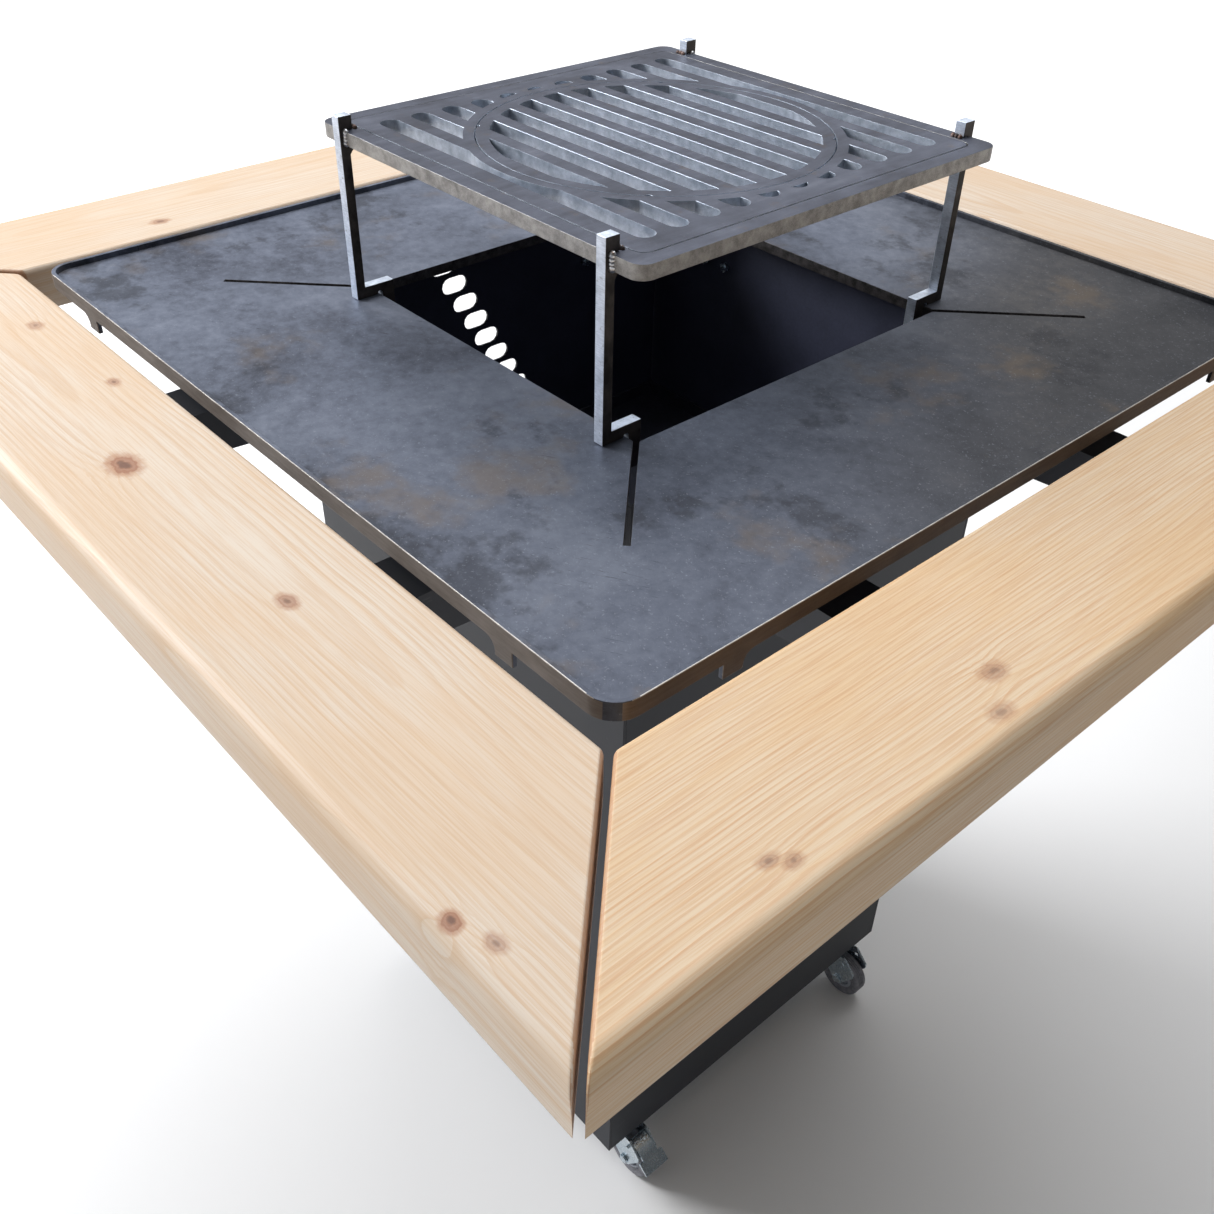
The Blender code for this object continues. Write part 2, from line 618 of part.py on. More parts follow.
def bolt_pair(name, hand):
    """Two bolts on one washer strip, through an arm and the wall, with their nuts inside."""
    face = BODY_HALF + FIT + SHEET + FIT
    inner = BODY_HALF - SHEET - FIT
    hexagon = circle((0, 0), HEX_R, 6)
    z = ARM_TOP - BOLT_DROP
    middle = hand * BOLT_OFFSET
    reach = BOLT_SPACING / 2 + STRIP_EDGE
    strip = box((face, middle - reach, z - STRIP_EDGE), (face + STRIP_T, middle + reach, z + STRIP_EDGE))
    upright = (math.pi / 2, "Y")
    parts = []
    for step in (-1, 1):
        spot = (0, middle + step * BOLT_SPACING / 2, z)
        shank = prism(circle((0, 0), BOLT_R, 12), inner - NUT_T - BOLT_END, face + STRIP_T / 2)
        parts.append(place(prism(hexagon, face + STRIP_T / 2, face + STRIP_T + HEAD_T), spot, upright))
        parts.append(place(shank, spot, upright))
        parts.append(place(prism(hexagon, inner - NUT_T, inner), spot, upright))
    return combine(name, "zinc", strip, joined=parts)


def arms():
    ends = {"front": ("left", "right"), "right": ("front", "back"), "back": ("right", "left"),
            "left": ("back", "front")}
    for i, hand in enumerate((-1, 1)):
        first_arm = arm_solid(f"arm_right_{ends['right'][i]}", hand)
        first_bolts = bolt_pair(f"arm_bolts_right_{ends['right'][i]}", hand)
        for side, angle in SIDES.items():
            for stem, source in (("arm", first_arm), ("arm_bolts", first_bolts)):
                name = f"{stem}_{side}_{ends[side][i]}"
                made = source if name == source.name else copy_of(source, name)
                made.rotation_euler.z = angle


# ---------------------------------------------------------------- castors
def castor_levels():
    plate_low = CASTOR_HEIGHT - FIT - TOP_PLATE_T
    race_low = plate_low - RACE_H
    fork_top = race_low - FIT
    return plate_low, race_low, fork_top


def castor_plate():
    """The bolted top plate with its ball race and king pin."""
    plate_low, race_low, fork_top = castor_levels()
    head = fork_top - FORK_T - FIT
    inset = TOP_PLATE * 0.36
    holes = [circle((x * inset, y * inset), BOLT_HOLE_R, 12) for x in (-1, 1) for y in (-1, 1)]
    outline = rounded_square(TOP_PLATE / 2, TOP_PLATE_CORNER_R, 3)
    plate = prism(outline, plate_low, plate_low + TOP_PLATE_T, holes)
    middle = plate_low + TOP_PLATE_T / 2
    profile = [(0, middle), (RACE_R * 0.8, middle), (RACE_R, plate_low - RACE_H / 6),
               (RACE_R * 0.9, race_low), (KINGPIN_R, race_low), (KINGPIN_R, head), (KINGPIN_HEAD_R, head),
               (KINGPIN_HEAD_R, head - KINGPIN_HEAD_T), (0, head - KINGPIN_HEAD_T)]
    return combine("castor_plate", "zinc", plate, joined=[lathe(profile, 20)])


def castor_fork():
    """Two cheeks hanging from a bridge, leaning back to the axle."""
    fork_top = castor_levels()[2]
    half = WHEEL_W / 2 + FORK_SIDE_GAP + FORK_T
    front = -RACE_R
    outline = [(front, fork_top), (front, fork_top - CHEEK_FRONT)]
    outline += arc((TRAIL, WHEEL_R), EYE_R, math.pi * 1.05, math.pi * 1.95, 6)
    outline += [(PEDAL_PIN[0] + CHEEK_TIP, PEDAL_PIN[1] - CHEEK_TIP * 0.8),
                (PEDAL_PIN[0] + CHEEK_TIP, PEDAL_PIN[1] - CHEEK_TIP * 0.4), (PEDAL_PIN[0], fork_top)]
    inside = half - FORK_T
    bridge_low = fork_top - FORK_T
    channel = box((2 * front, -inside, 0.0), (2 * WHEEL_R + TRAIL, inside, bridge_low))
    open_top = box((RACE_R, -inside, bridge_low - OVERCUT), (2 * WHEEL_R + TRAIL, inside, fork_top + OVERCUT))
    pin_hole = prism(circle((0, 0), KINGPIN_R + FIT, 20), bridge_low - OVERCUT, fork_top + OVERCUT)
    through = []
    for (x, z), radius in (((TRAIL, WHEEL_R), AXLE_R + FIT), (PEDAL_PIN, PEDAL_PIN_R + FIT)):
        through.append(prism(circle((x, z), radius, 14), -half - OVERCUT, half + OVERCUT, plane="xz"))
    return combine("castor_fork", "zinc", prism(outline, -half, half, plane="xz"),
                   cut=[channel, open_top, pin_hole, *through])


def across(profile, segments=SEGMENTS):
    """A turned piece on the wheel's axis, which lies along Y."""
    return place(lathe(profile, segments), (TRAIL, 0, WHEEL_R), (math.pi / 2, "X"))


def castor_axle():
    half = WHEEL_W / 2 + FORK_SIDE_GAP + FORK_T + FIT
    end = half + AXLE_HEAD_T
    profile = [(0, -end), (AXLE_HEAD_R, -end), (AXLE_HEAD_R, -half), (AXLE_R, -half),
               (AXLE_R, half), (AXLE_HEAD_R, half), (AXLE_HEAD_R, end), (0, end)]
    return add_object("castor_axle", across(profile, 14), "zinc", smooth=True)


def castor_hub():
    boss, web = WHEEL_W / 2 + FORK_SIDE_GAP / 2, WHEEL_W / 2 - HUB_DISH
    bore, foot, lip = AXLE_R + FIT, HUB_BOSS_R + HUB_BOSS_FILLET, HUB_R - HUB_LIP
    edge = WHEEL_W * 0.42
    profile = [(bore, -boss), (HUB_BOSS_R, -boss), (foot, -web), (lip, -web), (HUB_R, -edge),
               (HUB_R, edge), (lip, web), (foot, web), (HUB_BOSS_R, boss), (bore, boss)]
    return add_object("castor_hub", across(profile, 20), "hub_nylon", smooth=True)


def castor_tyre():
    inner = HUB_R + FIT
    side, shoulder = WHEEL_W / 2, WHEEL_W * 0.34
    profile = [(inner, -side * 0.84), (WHEEL_R * 0.74, -side), (WHEEL_R * 0.90, -side), (WHEEL_R, -shoulder),
               (WHEEL_R, shoulder), (WHEEL_R * 0.90, side), (WHEEL_R * 0.74, side), (inner, side * 0.84)]
    return add_object("castor_tyre", across(profile, 32), "grey_rubber", smooth=True)


def brake_pedal():
    """The foot pedal: a pin, a neck between the cheeks and a wide tread behind them."""
    inside = WHEEL_W / 2 + FORK_SIDE_GAP - FIT * 2
    x, z = PEDAL_PIN
    eye = PEDAL_PIN_R + PEDAL_T / 2
    knee = (x + PEDAL_NECK * 0.6, z - eye)
    foot = (x + PEDAL_NECK, z - eye - PEDAL_NECK * 0.3)
    rise = PEDAL_T * 1.2
    neck = prism([(x - eye, z - eye), knee, foot, (foot[0] + PEDAL_T, foot[1] + PEDAL_T),
                  (knee[0] + PEDAL_T, knee[1] + rise), (x + eye, z + eye), (x - eye, z + eye)],
                 -inside, inside, plane="xz")
    tip = (foot[0] + PEDAL_TREAD, foot[1] - PEDAL_TREAD * 0.75)
    tread = prism([foot, tip, (tip[0] + PEDAL_T * 0.6, tip[1] + PEDAL_T * 0.8),
                   (foot[0] + PEDAL_T, foot[1] + PEDAL_T)], -PEDAL_W / 2, PEDAL_W / 2, plane="xz")
    outer = inside + FORK_T + 2 * OVERCUT
    pin = prism(circle((x, z), PEDAL_PIN_R, 12), -outer, outer, plane="xz")
    return combine("castor_brake_pedal", "zinc", neck, joined=[tread, pin])


def castors():
    makers = {"plate": castor_plate, "fork": castor_fork, "axle": castor_axle, "hub": castor_hub,
              "tyre": castor_tyre}
    first = {name: maker() for name, maker in makers.items()}
    pedal = brake_pedal()
    corners = {"front_left": (-1, -1), "front_right": (1, -1), "back_left": (-1, 1), "back_right": (1, 1)}
    for corner, (x, y) in corners.items():
        pieces = dict(first)
        if y < 0:
            pieces["brake_pedal"] = pedal
        stand = empty(f"castor_{corner}_axis", (x * CASTOR_AXIS[0], y * CASTOR_AXIS[1], 0))
        for stem, source in pieces.items():
            copy_of(source, f"castor_{corner}_{stem}").parent = stand
    for source in [*first.values(), pedal]:
        bpy.data.objects.remove(source)


def main():
    for old in list(bpy.data.objects):
        bpy.data.objects.remove(old)
    firebox_body()
    griddle_plate()
    griddle_rim()
    grate_frame()
    grate_panel()
    grate_insert()
    grate_legs()
    planks()
    arms()
    castors()


main()
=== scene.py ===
"""Looks for the garden fire pit: hot-rolled plate, a flame-cut grate, weld beads, planed pine
and zinc-plated castors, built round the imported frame. Metres, +Z up, the front is -Y."""

import json
import math
import random

import bmesh
import bpy
from mathutils import Matrix, Vector, noise

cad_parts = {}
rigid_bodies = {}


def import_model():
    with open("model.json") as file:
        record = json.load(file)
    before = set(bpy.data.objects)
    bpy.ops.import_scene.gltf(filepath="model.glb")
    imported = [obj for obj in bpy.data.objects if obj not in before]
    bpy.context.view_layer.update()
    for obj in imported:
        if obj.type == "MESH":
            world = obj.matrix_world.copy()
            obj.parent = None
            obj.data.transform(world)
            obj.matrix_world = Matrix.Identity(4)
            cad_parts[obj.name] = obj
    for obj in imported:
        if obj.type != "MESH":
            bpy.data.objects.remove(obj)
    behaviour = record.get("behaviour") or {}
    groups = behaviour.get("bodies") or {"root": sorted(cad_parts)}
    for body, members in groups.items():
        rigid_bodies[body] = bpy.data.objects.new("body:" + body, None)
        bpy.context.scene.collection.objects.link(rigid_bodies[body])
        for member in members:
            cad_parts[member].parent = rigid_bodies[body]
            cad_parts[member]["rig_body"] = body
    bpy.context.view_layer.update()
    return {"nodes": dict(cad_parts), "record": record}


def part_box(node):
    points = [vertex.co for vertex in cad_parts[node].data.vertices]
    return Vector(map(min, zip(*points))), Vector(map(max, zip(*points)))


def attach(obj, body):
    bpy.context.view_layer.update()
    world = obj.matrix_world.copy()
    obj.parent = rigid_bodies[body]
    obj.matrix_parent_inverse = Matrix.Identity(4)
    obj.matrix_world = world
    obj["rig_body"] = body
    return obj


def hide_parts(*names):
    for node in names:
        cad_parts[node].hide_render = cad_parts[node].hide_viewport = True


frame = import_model()

MM = 0.001
CORNERS = ("front_left", "front_right", "back_left", "back_right")
SIDES = {"front": -math.pi / 2, "right": 0.0, "back": math.pi / 2, "left": math.pi}
CAMERA_AT = (0.776, -0.745, 1.4535)
CAMERA_TURN = (52.05, -0.96, 48.64)  # degrees
CAMERA_LENS = 36.9


# ---------------------------------------------------------------- shader maths
class Wire:
    """A shader socket that can be used in sums."""

    def __init__(self, finish, socket):
        self.finish = finish
        self.socket = socket

    def maths(self, operation, *others, swap=False):
        values = [self, *others]
        if swap:
            values.reverse()
        return self.finish.node("ShaderNodeMath", {"operation": operation}, values)

    def __add__(self, other):
        return self.maths("ADD", other)

    def __radd__(self, other):
        return self.maths("ADD", other)

    def __sub__(self, other):
        return self.maths("SUBTRACT", other)

    def __rsub__(self, other):
        return self.maths("SUBTRACT", other, swap=True)

    def __mul__(self, other):
        return self.maths("MULTIPLY", other)

    def __rmul__(self, other):
        return self.maths("MULTIPLY", other)

    def __truediv__(self, other):
        return self.maths("DIVIDE", other)

    def sine(self):
        return self.maths("SINE")

    def root(self):
        return self.maths("SQRT")

    def fraction(self):
        return self.maths("FRACT")

    def size(self):
        return self.maths("ABSOLUTE")

    def most(self, other):
        return self.maths("MAXIMUM", other)


class Finish:
    """A material whose nodes are added one call at a time."""

    def __init__(self, name):
        self.material = bpy.data.materials.new(name)
        self.material.use_nodes = True
        self.tree = self.material.node_tree
        self.shader = self.tree.nodes["Principled BSDF"]
        self.place = self.node("ShaderNodeTexCoord", out="Object")

    def node(self, kind, settings=None, inputs=(), out=0):
        made = self.tree.nodes.new(kind)
        for key, value in (settings or {}).items():
            if key == "stops":
                self.set_stops(made.color_ramp, value)
            else:
                setattr(made, key, value)
        pairs = inputs.items() if isinstance(inputs, dict) else enumerate(inputs)
        for key, value in pairs:
            self.feed(made.inputs[key], value)
        return Wire(self, made.outputs[out])

    def feed(self, socket, value):
        if isinstance(value, Wire):
            self.tree.links.new(value.socket, socket)
        elif isinstance(value, tuple) and len(value) == 3 and socket.type == "RGBA":
            socket.default_value = (*value, 1.0)
        else:
            socket.default_value = value

    def set_stops(self, ramp, stops):
        while len(ramp.elements) < len(stops):
            ramp.elements.new(0.5)
        for element, (position, colour) in zip(ramp.elements, stops):
            element.position = position
            element.color = (*colour, 1.0)

    def turned(self, location=(0, 0, 0), rotation=(0, 0, 0), scale=(1, 1, 1)):
        """Object coordinates moved, turned and stretched."""
        settings = {"vector_type": "TEXTURE"}
        return self.node("ShaderNodeMapping", settings, [self.place, location, rotation, scale])

    def noise(self, scale, detail, rough, at=None, warp=0.0):
        inputs = {"Vector": at or self.place, "Scale": scale, "Detail": detail, "Roughness": rough,
                  "Distortion": warp}
        return self.node("ShaderNodeTexNoise", {}, inputs)

    def split(self, vector):
        separate = self.tree.nodes.new("ShaderNodeSeparateXYZ")
        self.feed(separate.inputs[0], vector)
        return [Wire(self, output) for output in separate.outputs]

    def join(self, x, y, z):
        return self.node("ShaderNodeCombineXYZ", {}, [x, y, z])

    def between(self, value, low, high, start=0.0, end=1.0):
        """Runs smoothly from start to end as the value goes from low to high."""
        settings = {"interpolation_type": "SMOOTHSTEP"}
        return self.node("ShaderNodeMapRange", settings, [value, low, high, start, end])

    def ramp(self, value, *stops):
        return self.node("ShaderNodeValToRGB", {"stops": stops}, [value])

    def mix(self, factor, first, second):
        settings = {"data_type": "RGBA"}
        return self.node("ShaderNodeMix", settings, {0: factor, 6: first, 7: second}, out=2)

    def bump(self, height, distance, strength):
        inputs = {"Height": height, "Distance": distance, "Strength": strength}
        return self.node("ShaderNodeBump", {}, inputs)

    def set(self, **values):
        """Feeds the shader's inputs, named with _ for a space, and hands back the material."""
        for key, value in values.items():
            self.feed(self.shader.inputs[key.replace("_", " ")], value)
        return self.material


# ---------------------------------------------------------------- finishes
def rolled_plate():
    """Hot-rolled plate: blue-grey scale in clouds, thin browned patches, scuffs and scratches, with
    painted light: the scale is painted lighter and bluer towards -X and -Y as the lamp's reflection, and
    darker towards +X as shade.
    """
    f = Finish("rolled_plate")
    x, y, _ = f.split(f.place)
    clouds = f.noise(5.0, 6.0, 0.62, warp=0.6)
    drift = f.noise(1.7, 2.0, 0.5)
    speckle = f.noise(420.0, 3.0, 0.7)
    grit = f.noise(95.0, 5.0, 0.68)
    scale = clouds + 0.50 * (grit - 0.5)
    # Lit and shaded copies of the scale: the first ramp is painted light, the second painted shade.
    lit_scale = f.ramp(scale, (0.30, (0.056, 0.064, 0.088)), (0.50, (0.118, 0.134, 0.176)),
                  (0.70, (0.180, 0.200, 0.250)))
    warm = f.ramp(scale, (0.30, (0.026, 0.027, 0.030)), (0.55, (0.058, 0.058, 0.062)),
                  (0.75, (0.104, 0.098, 0.094)))
    # Painted light: blends from the lit copy on the -X, -Y side to the shaded copy towards +X and +Y.
    side = f.between(x + 0.8 * y + 0.5 * (drift - 0.5), 0.10, 0.45)
    colour = f.mix(side, lit_scale, warm)
    # Painted shade: darkens the plate further towards +X, away from the lamp.
    painted_shade = f.between(x - 0.4 * y + 0.3 * (drift - 0.5), -0.20, 0.50)
    colour = f.mix(painted_shade * 0.40, colour, (0.022, 0.024, 0.031))
    brown = f.between(f.noise(9.0, 5.0, 0.6, f.turned((0.3, 1.1, 0.0))), 0.56, 0.70)
    colour = f.mix(brown * 0.45, colour, (0.135, 0.098, 0.062))
    stretched = f.turned(rotation=(0, 0, 0.5), scale=(1.0, 0.09, 1.0))
    scuffs = f.between(f.noise(60.0, 4.0, 0.6, stretched), 0.62, 0.72)
    scuffs = scuffs * f.between(f.noise(11.0, 2.0, 0.5), 0.52, 0.62)
    smudges = f.between(f.noise(8.0, 6.0, 0.68, f.turned((1.7, 0.4, 0.0))), 0.54, 0.63)
    colour = f.mix((0.7 * scuffs).most(0.55 * smudges), colour, (0.014, 0.015, 0.020))
    lines = f.turned(rotation=(0, 0, -0.75), scale=(0.45, 0.006, 1.0))
    fine = f.between(f.noise(30.0, 2.0, 0.5, lines), 0.70, 0.76)
    colour = f.mix(fine * 0.25, colour, (0.26, 0.28, 0.32))
    colour = f.mix(f.between(speckle, 0.58, 0.78) * 0.50, colour, (0.26, 0.28, 0.32))
    rough = 0.40 + 0.22 * clouds + 0.12 * grit - 0.10 * fine
    height = 0.5 * grit + 0.3 * speckle + 0.8 * clouds
    return f.set(Base_Color=colour, Roughness=rough, Metallic=0.72,
                 Normal=f.bump(height, 0.22 * MM, 0.55))


def browned_bar():
    """Flat bar with a brown-grey skin and rubbed streaks, with painted light: paler, as if lit, on the
    sides that face along Y and darker, as if shaded, on the others.
    """
    f = Finish("browned_bar")
    streaks = f.noise(40.0, 4.0, 0.6, f.turned(scale=(1.0, 1.0, 0.12)))
    clouds = f.noise(14.0, 5.0, 0.6)
    grit = f.noise(260.0, 3.0, 0.7)
    mottle = 0.6 * clouds + 0.4 * streaks
    pale = f.ramp(mottle, (0.34, (0.125, 0.105, 0.092)), (0.66, (0.270, 0.245, 0.228)))
    shaded_skin = f.ramp(mottle, (0.34, (0.085, 0.062, 0.050)), (0.66, (0.170, 0.130, 0.105)))
    _, y, _ = f.split(f.node("ShaderNodeTexCoord", out="Normal"))
    # Painted light: faces along Y get the pale, lit copy of the skin and all other faces the darker,
    # shaded copy.
    colour = f.mix(f.between(y.size(), 0.3, 0.7), shaded_skin, pale)
    colour = f.mix(f.between(grit, 0.60, 0.80) * 0.25, colour, (0.30, 0.28, 0.26))
    return f.set(Base_Color=colour, Roughness=0.42 + 0.25 * clouds, Metallic=0.55,
                 Normal=f.bump(grit + streaks, 0.15 * MM, 0.6))


def grate_top():
    """The grate's flat faces: dark blue-grey scale, lighter where it was handled."""
    f = Finish("grate_top")
    clouds = f.noise(16.0, 6.0, 0.65)
    grit = f.noise(300.0, 4.0, 0.7)
    rub = f.noise(26.0, 3.0, 0.6, f.turned(scale=(0.16, 1.0, 1.0)))
    colour = f.ramp(0.7 * clouds + 0.3 * rub, (0.36, (0.040, 0.044, 0.062)),
                    (0.54, (0.078, 0.086, 0.115)), (0.70, (0.125, 0.135, 0.170)))
    colour = f.mix(f.between(grit, 0.58, 0.78) * 0.30, colour, (0.22, 0.23, 0.28))
    spots = f.between(f.noise(55.0, 4.0, 0.6), 0.60, 0.72)
    colour = f.mix(spots * 0.35, colour, (0.105, 0.080, 0.062))
    return f.set(Base_Color=colour, Roughness=0.38 + 0.26 * clouds, Metallic=0.70,
                 Normal=f.bump(grit + 0.6 * clouds, 0.16 * MM, 0.6))


def cut_edge(name, low, high):
    """A flame-cut face: fine upright drag lines and a light, yellowed or blued skin."""
    f = Finish(name)
    drag = f.noise(900.0, 2.0, 0.5, f.turned(scale=(1.0, 1.0, 0.05)))
    clouds = f.noise(110.0, 5.0, 0.65)
    colour = f.ramp(0.6 * clouds + 0.4 * drag, (0.38, low), (0.62, high))
    return f.set(Base_Color=colour, Roughness=0.30 + 0.28 * clouds, Metallic=0.75,
                 Normal=f.bump(drag, 0.12 * MM, 0.7))


def leg_steel():
    """Cut bar: pale blue-grey scale, mottled, with darker rubbed spots."""
    f = Finish("leg_steel")
    clouds = f.noise(70.0, 5.0, 0.6)
    streaks = f.noise(120.0, 3.0, 0.6, f.turned(scale=(1.0, 1.0, 0.10)))
    colour = f.ramp(0.6 * clouds + 0.4 * streaks, (0.34, (0.380, 0.430, 0.510)),
                    (0.62, (0.720, 0.780, 0.880)))
    spots = f.between(f.noise(190.0, 3.0, 0.6), 0.62, 0.72)
    colour = f.mix(spots * 0.45, colour, (0.110, 0.100, 0.095))
    return f.set(Base_Color=colour, Roughness=0.34 + 0.25 * clouds, Metallic=0.72,
                 Normal=f.bump(clouds + streaks, 0.14 * MM, 0.6))


def leg_side():
    """The legs' flat sides keep their dark brown rolled skin."""
    f = Finish("leg_side")
    clouds = f.noise(60.0, 5.0, 0.6)
    colour = f.ramp(clouds, (0.34, (0.024, 0.021, 0.020)), (0.66, (0.094, 0.082, 0.076)))
    return f.set(Base_Color=colour, Roughness=0.42 + 0.25 * clouds, Metallic=0.60,
                 Normal=f.bump(clouds, 0.14 * MM, 0.6))


def weld_bead():
    """Bright bead with a straw and blue heat tint."""
    f = Finish("weld_bead")
    tint = f.noise(210.0, 3.0, 0.6)
    colour = f.ramp(tint, (0.30, (0.16, 0.19, 0.25)), (0.46, (0.52, 0.54, 0.57)),
                    (0.58, (0.62, 0.62, 0.62)), (0.70, (0.40, 0.28, 0.22)))
    ripple = f.noise(520.0, 3.0, 0.6)
    return f.set(Base_Color=colour, Roughness=0.20 + 0.25 * ripple, Metallic=1.0,
                 Normal=f.bump(ripple, 0.25 * MM, 0.6))


def heat_tint():
    """Scorched steel next to a weld."""
    f = Finish("heat_tint")
    clouds = f.noise(160.0, 4.0, 0.6)
    colour = f.ramp(clouds, (0.34, (0.030, 0.024, 0.024)), (0.52, (0.150, 0.090, 0.070)),
                    (0.70, (0.210, 0.180, 0.190)))
    return f.set(Base_Color=colour, Roughness=0.45 + 0.2 * clouds, Metallic=0.6,
                 Normal=f.bump(clouds, 0.2 * MM, 0.6))


def black_coat():
    """Thin black coat on sheet: faint orange peel, dust and a few rubs."""
    f = Finish("black_coat")
    peel = f.noise(520.0, 2.0, 0.5)
    dust = f.noise(6.0, 6.0, 0.7)
    rubs = f.between(f.noise(38.0, 3.0, 0.6, f.turned(scale=(1.0, 1.0, 0.3))), 0.66, 0.74)
    colour = f.ramp(dust, (0.30, (0.009, 0.010, 0.014)), (0.70, (0.019, 0.021, 0.029)))
    colour = f.mix(rubs * 0.20, colour, (0.09, 0.09, 0.095))
    return f.set(Base_Color=colour, Roughness=0.50 + 0.18 * dust, Metallic=0.0,
                 Normal=f.bump(peel, 0.06 * MM, 0.5))


def inner_coat():
    """The firebox's inside: the same coat, blued by heat and a little dusty."""
    f = Finish("inner_coat")
    dust = f.noise(7.0, 6.0, 0.7)
    grit = f.noise(300.0, 3.0, 0.6)
    colour = f.ramp(dust + 0.3 * (grit - 0.5), (0.30, (0.026, 0.029, 0.052)),
                    (0.70, (0.052, 0.058, 0.098)))
    return f.set(Base_Color=colour, Roughness=0.46 + 0.2 * dust, Metallic=0.0,
                 Normal=f.bump(grit, 0.08 * MM, 0.5))


def sooty_coat():
    """The firebox floor: matt black with ash-grey drift."""
    f = Finish("sooty_coat")
    drift = f.noise(12.0, 6.0, 0.65)
    grit = f.noise(240.0, 3.0, 0.6)
    colour = f.ramp(drift + 0.3 * (grit - 0.5), (0.35, (0.020, 0.022, 0.036)),
                    (0.75, (0.050, 0.054, 0.080)))
    return f.set(Base_Color=colour, Roughness=0.62 + 0.2 * drift, Metallic=0.0,
                 Normal=f.bump(grit, 0.15 * MM, 0.6))


def zinc_plate():
    """Bright blue-passivated zinc: light spangle and brush marks."""
    f = Finish("zinc_plate")
    spangle = f.node("ShaderNodeTexVoronoi", {}, {"Vector": f.place, "Scale": 420.0}, "Color")
    shade, _, tone = f.split(spangle)
    brush = f.noise(700.0, 2.0, 0.5, f.turned(scale=(0.08, 1.0, 1.0)))
    clouds = f.noise(60.0, 4.0, 0.6)
    colour = f.ramp(0.12 * shade + 0.88 * clouds, (0.25, (0.42, 0.52, 0.60)),
                    (0.55, (0.60, 0.67, 0.72)), (0.80, (0.72, 0.77, 0.80)))
    return f.set(Base_Color=colour, Roughness=0.20 + 0.05 * tone + 0.08 * brush, Metallic=1.0,
                 Normal=f.bump(brush + clouds, 0.02 * MM, 0.2))


def grey_rubber():
    """Grey non-marking tread with a little dust."""
    f = Finish("grey_rubber")
    dust = f.noise(120.0, 5.0, 0.65)
    grit = f.noise(900.0, 2.0, 0.6)
    colour = f.ramp(dust, (0.32, (0.125, 0.125, 0.145)), (0.68, (0.245, 0.245, 0.270)))
    return f.set(Base_Color=colour, Roughness=0.58 + 0.2 * dust, Metallic=0.0,
                 Normal=f.bump(grit + dust, 0.08 * MM, 0.5))


def hub_nylon():
    """Blue-grey moulded nylon, faintly mottled."""
    f = Finish("hub_nylon")
    mottle = f.noise(150.0, 4.0, 0.6)
    colour = f.ramp(mottle, (0.32, (0.250, 0.270, 0.320)), (0.68, (0.400, 0.425, 0.480)))
    return f.set(Base_Color=colour, Roughness=0.40 + 0.2 * mottle, Metallic=0.0,
                 Normal=f.bump(mottle, 0.06 * MM, 0.5))


KNOT_STRETCH = 1.5
BARK_BROWN = (0.300, 0.120, 0.045)
KNOT_BROWN = (0.235, 0.085, 0.034)
HEART_BROWN = (0.090, 0.034, 0.018)
END_BROWN = (0.330, 0.140, 0.058)


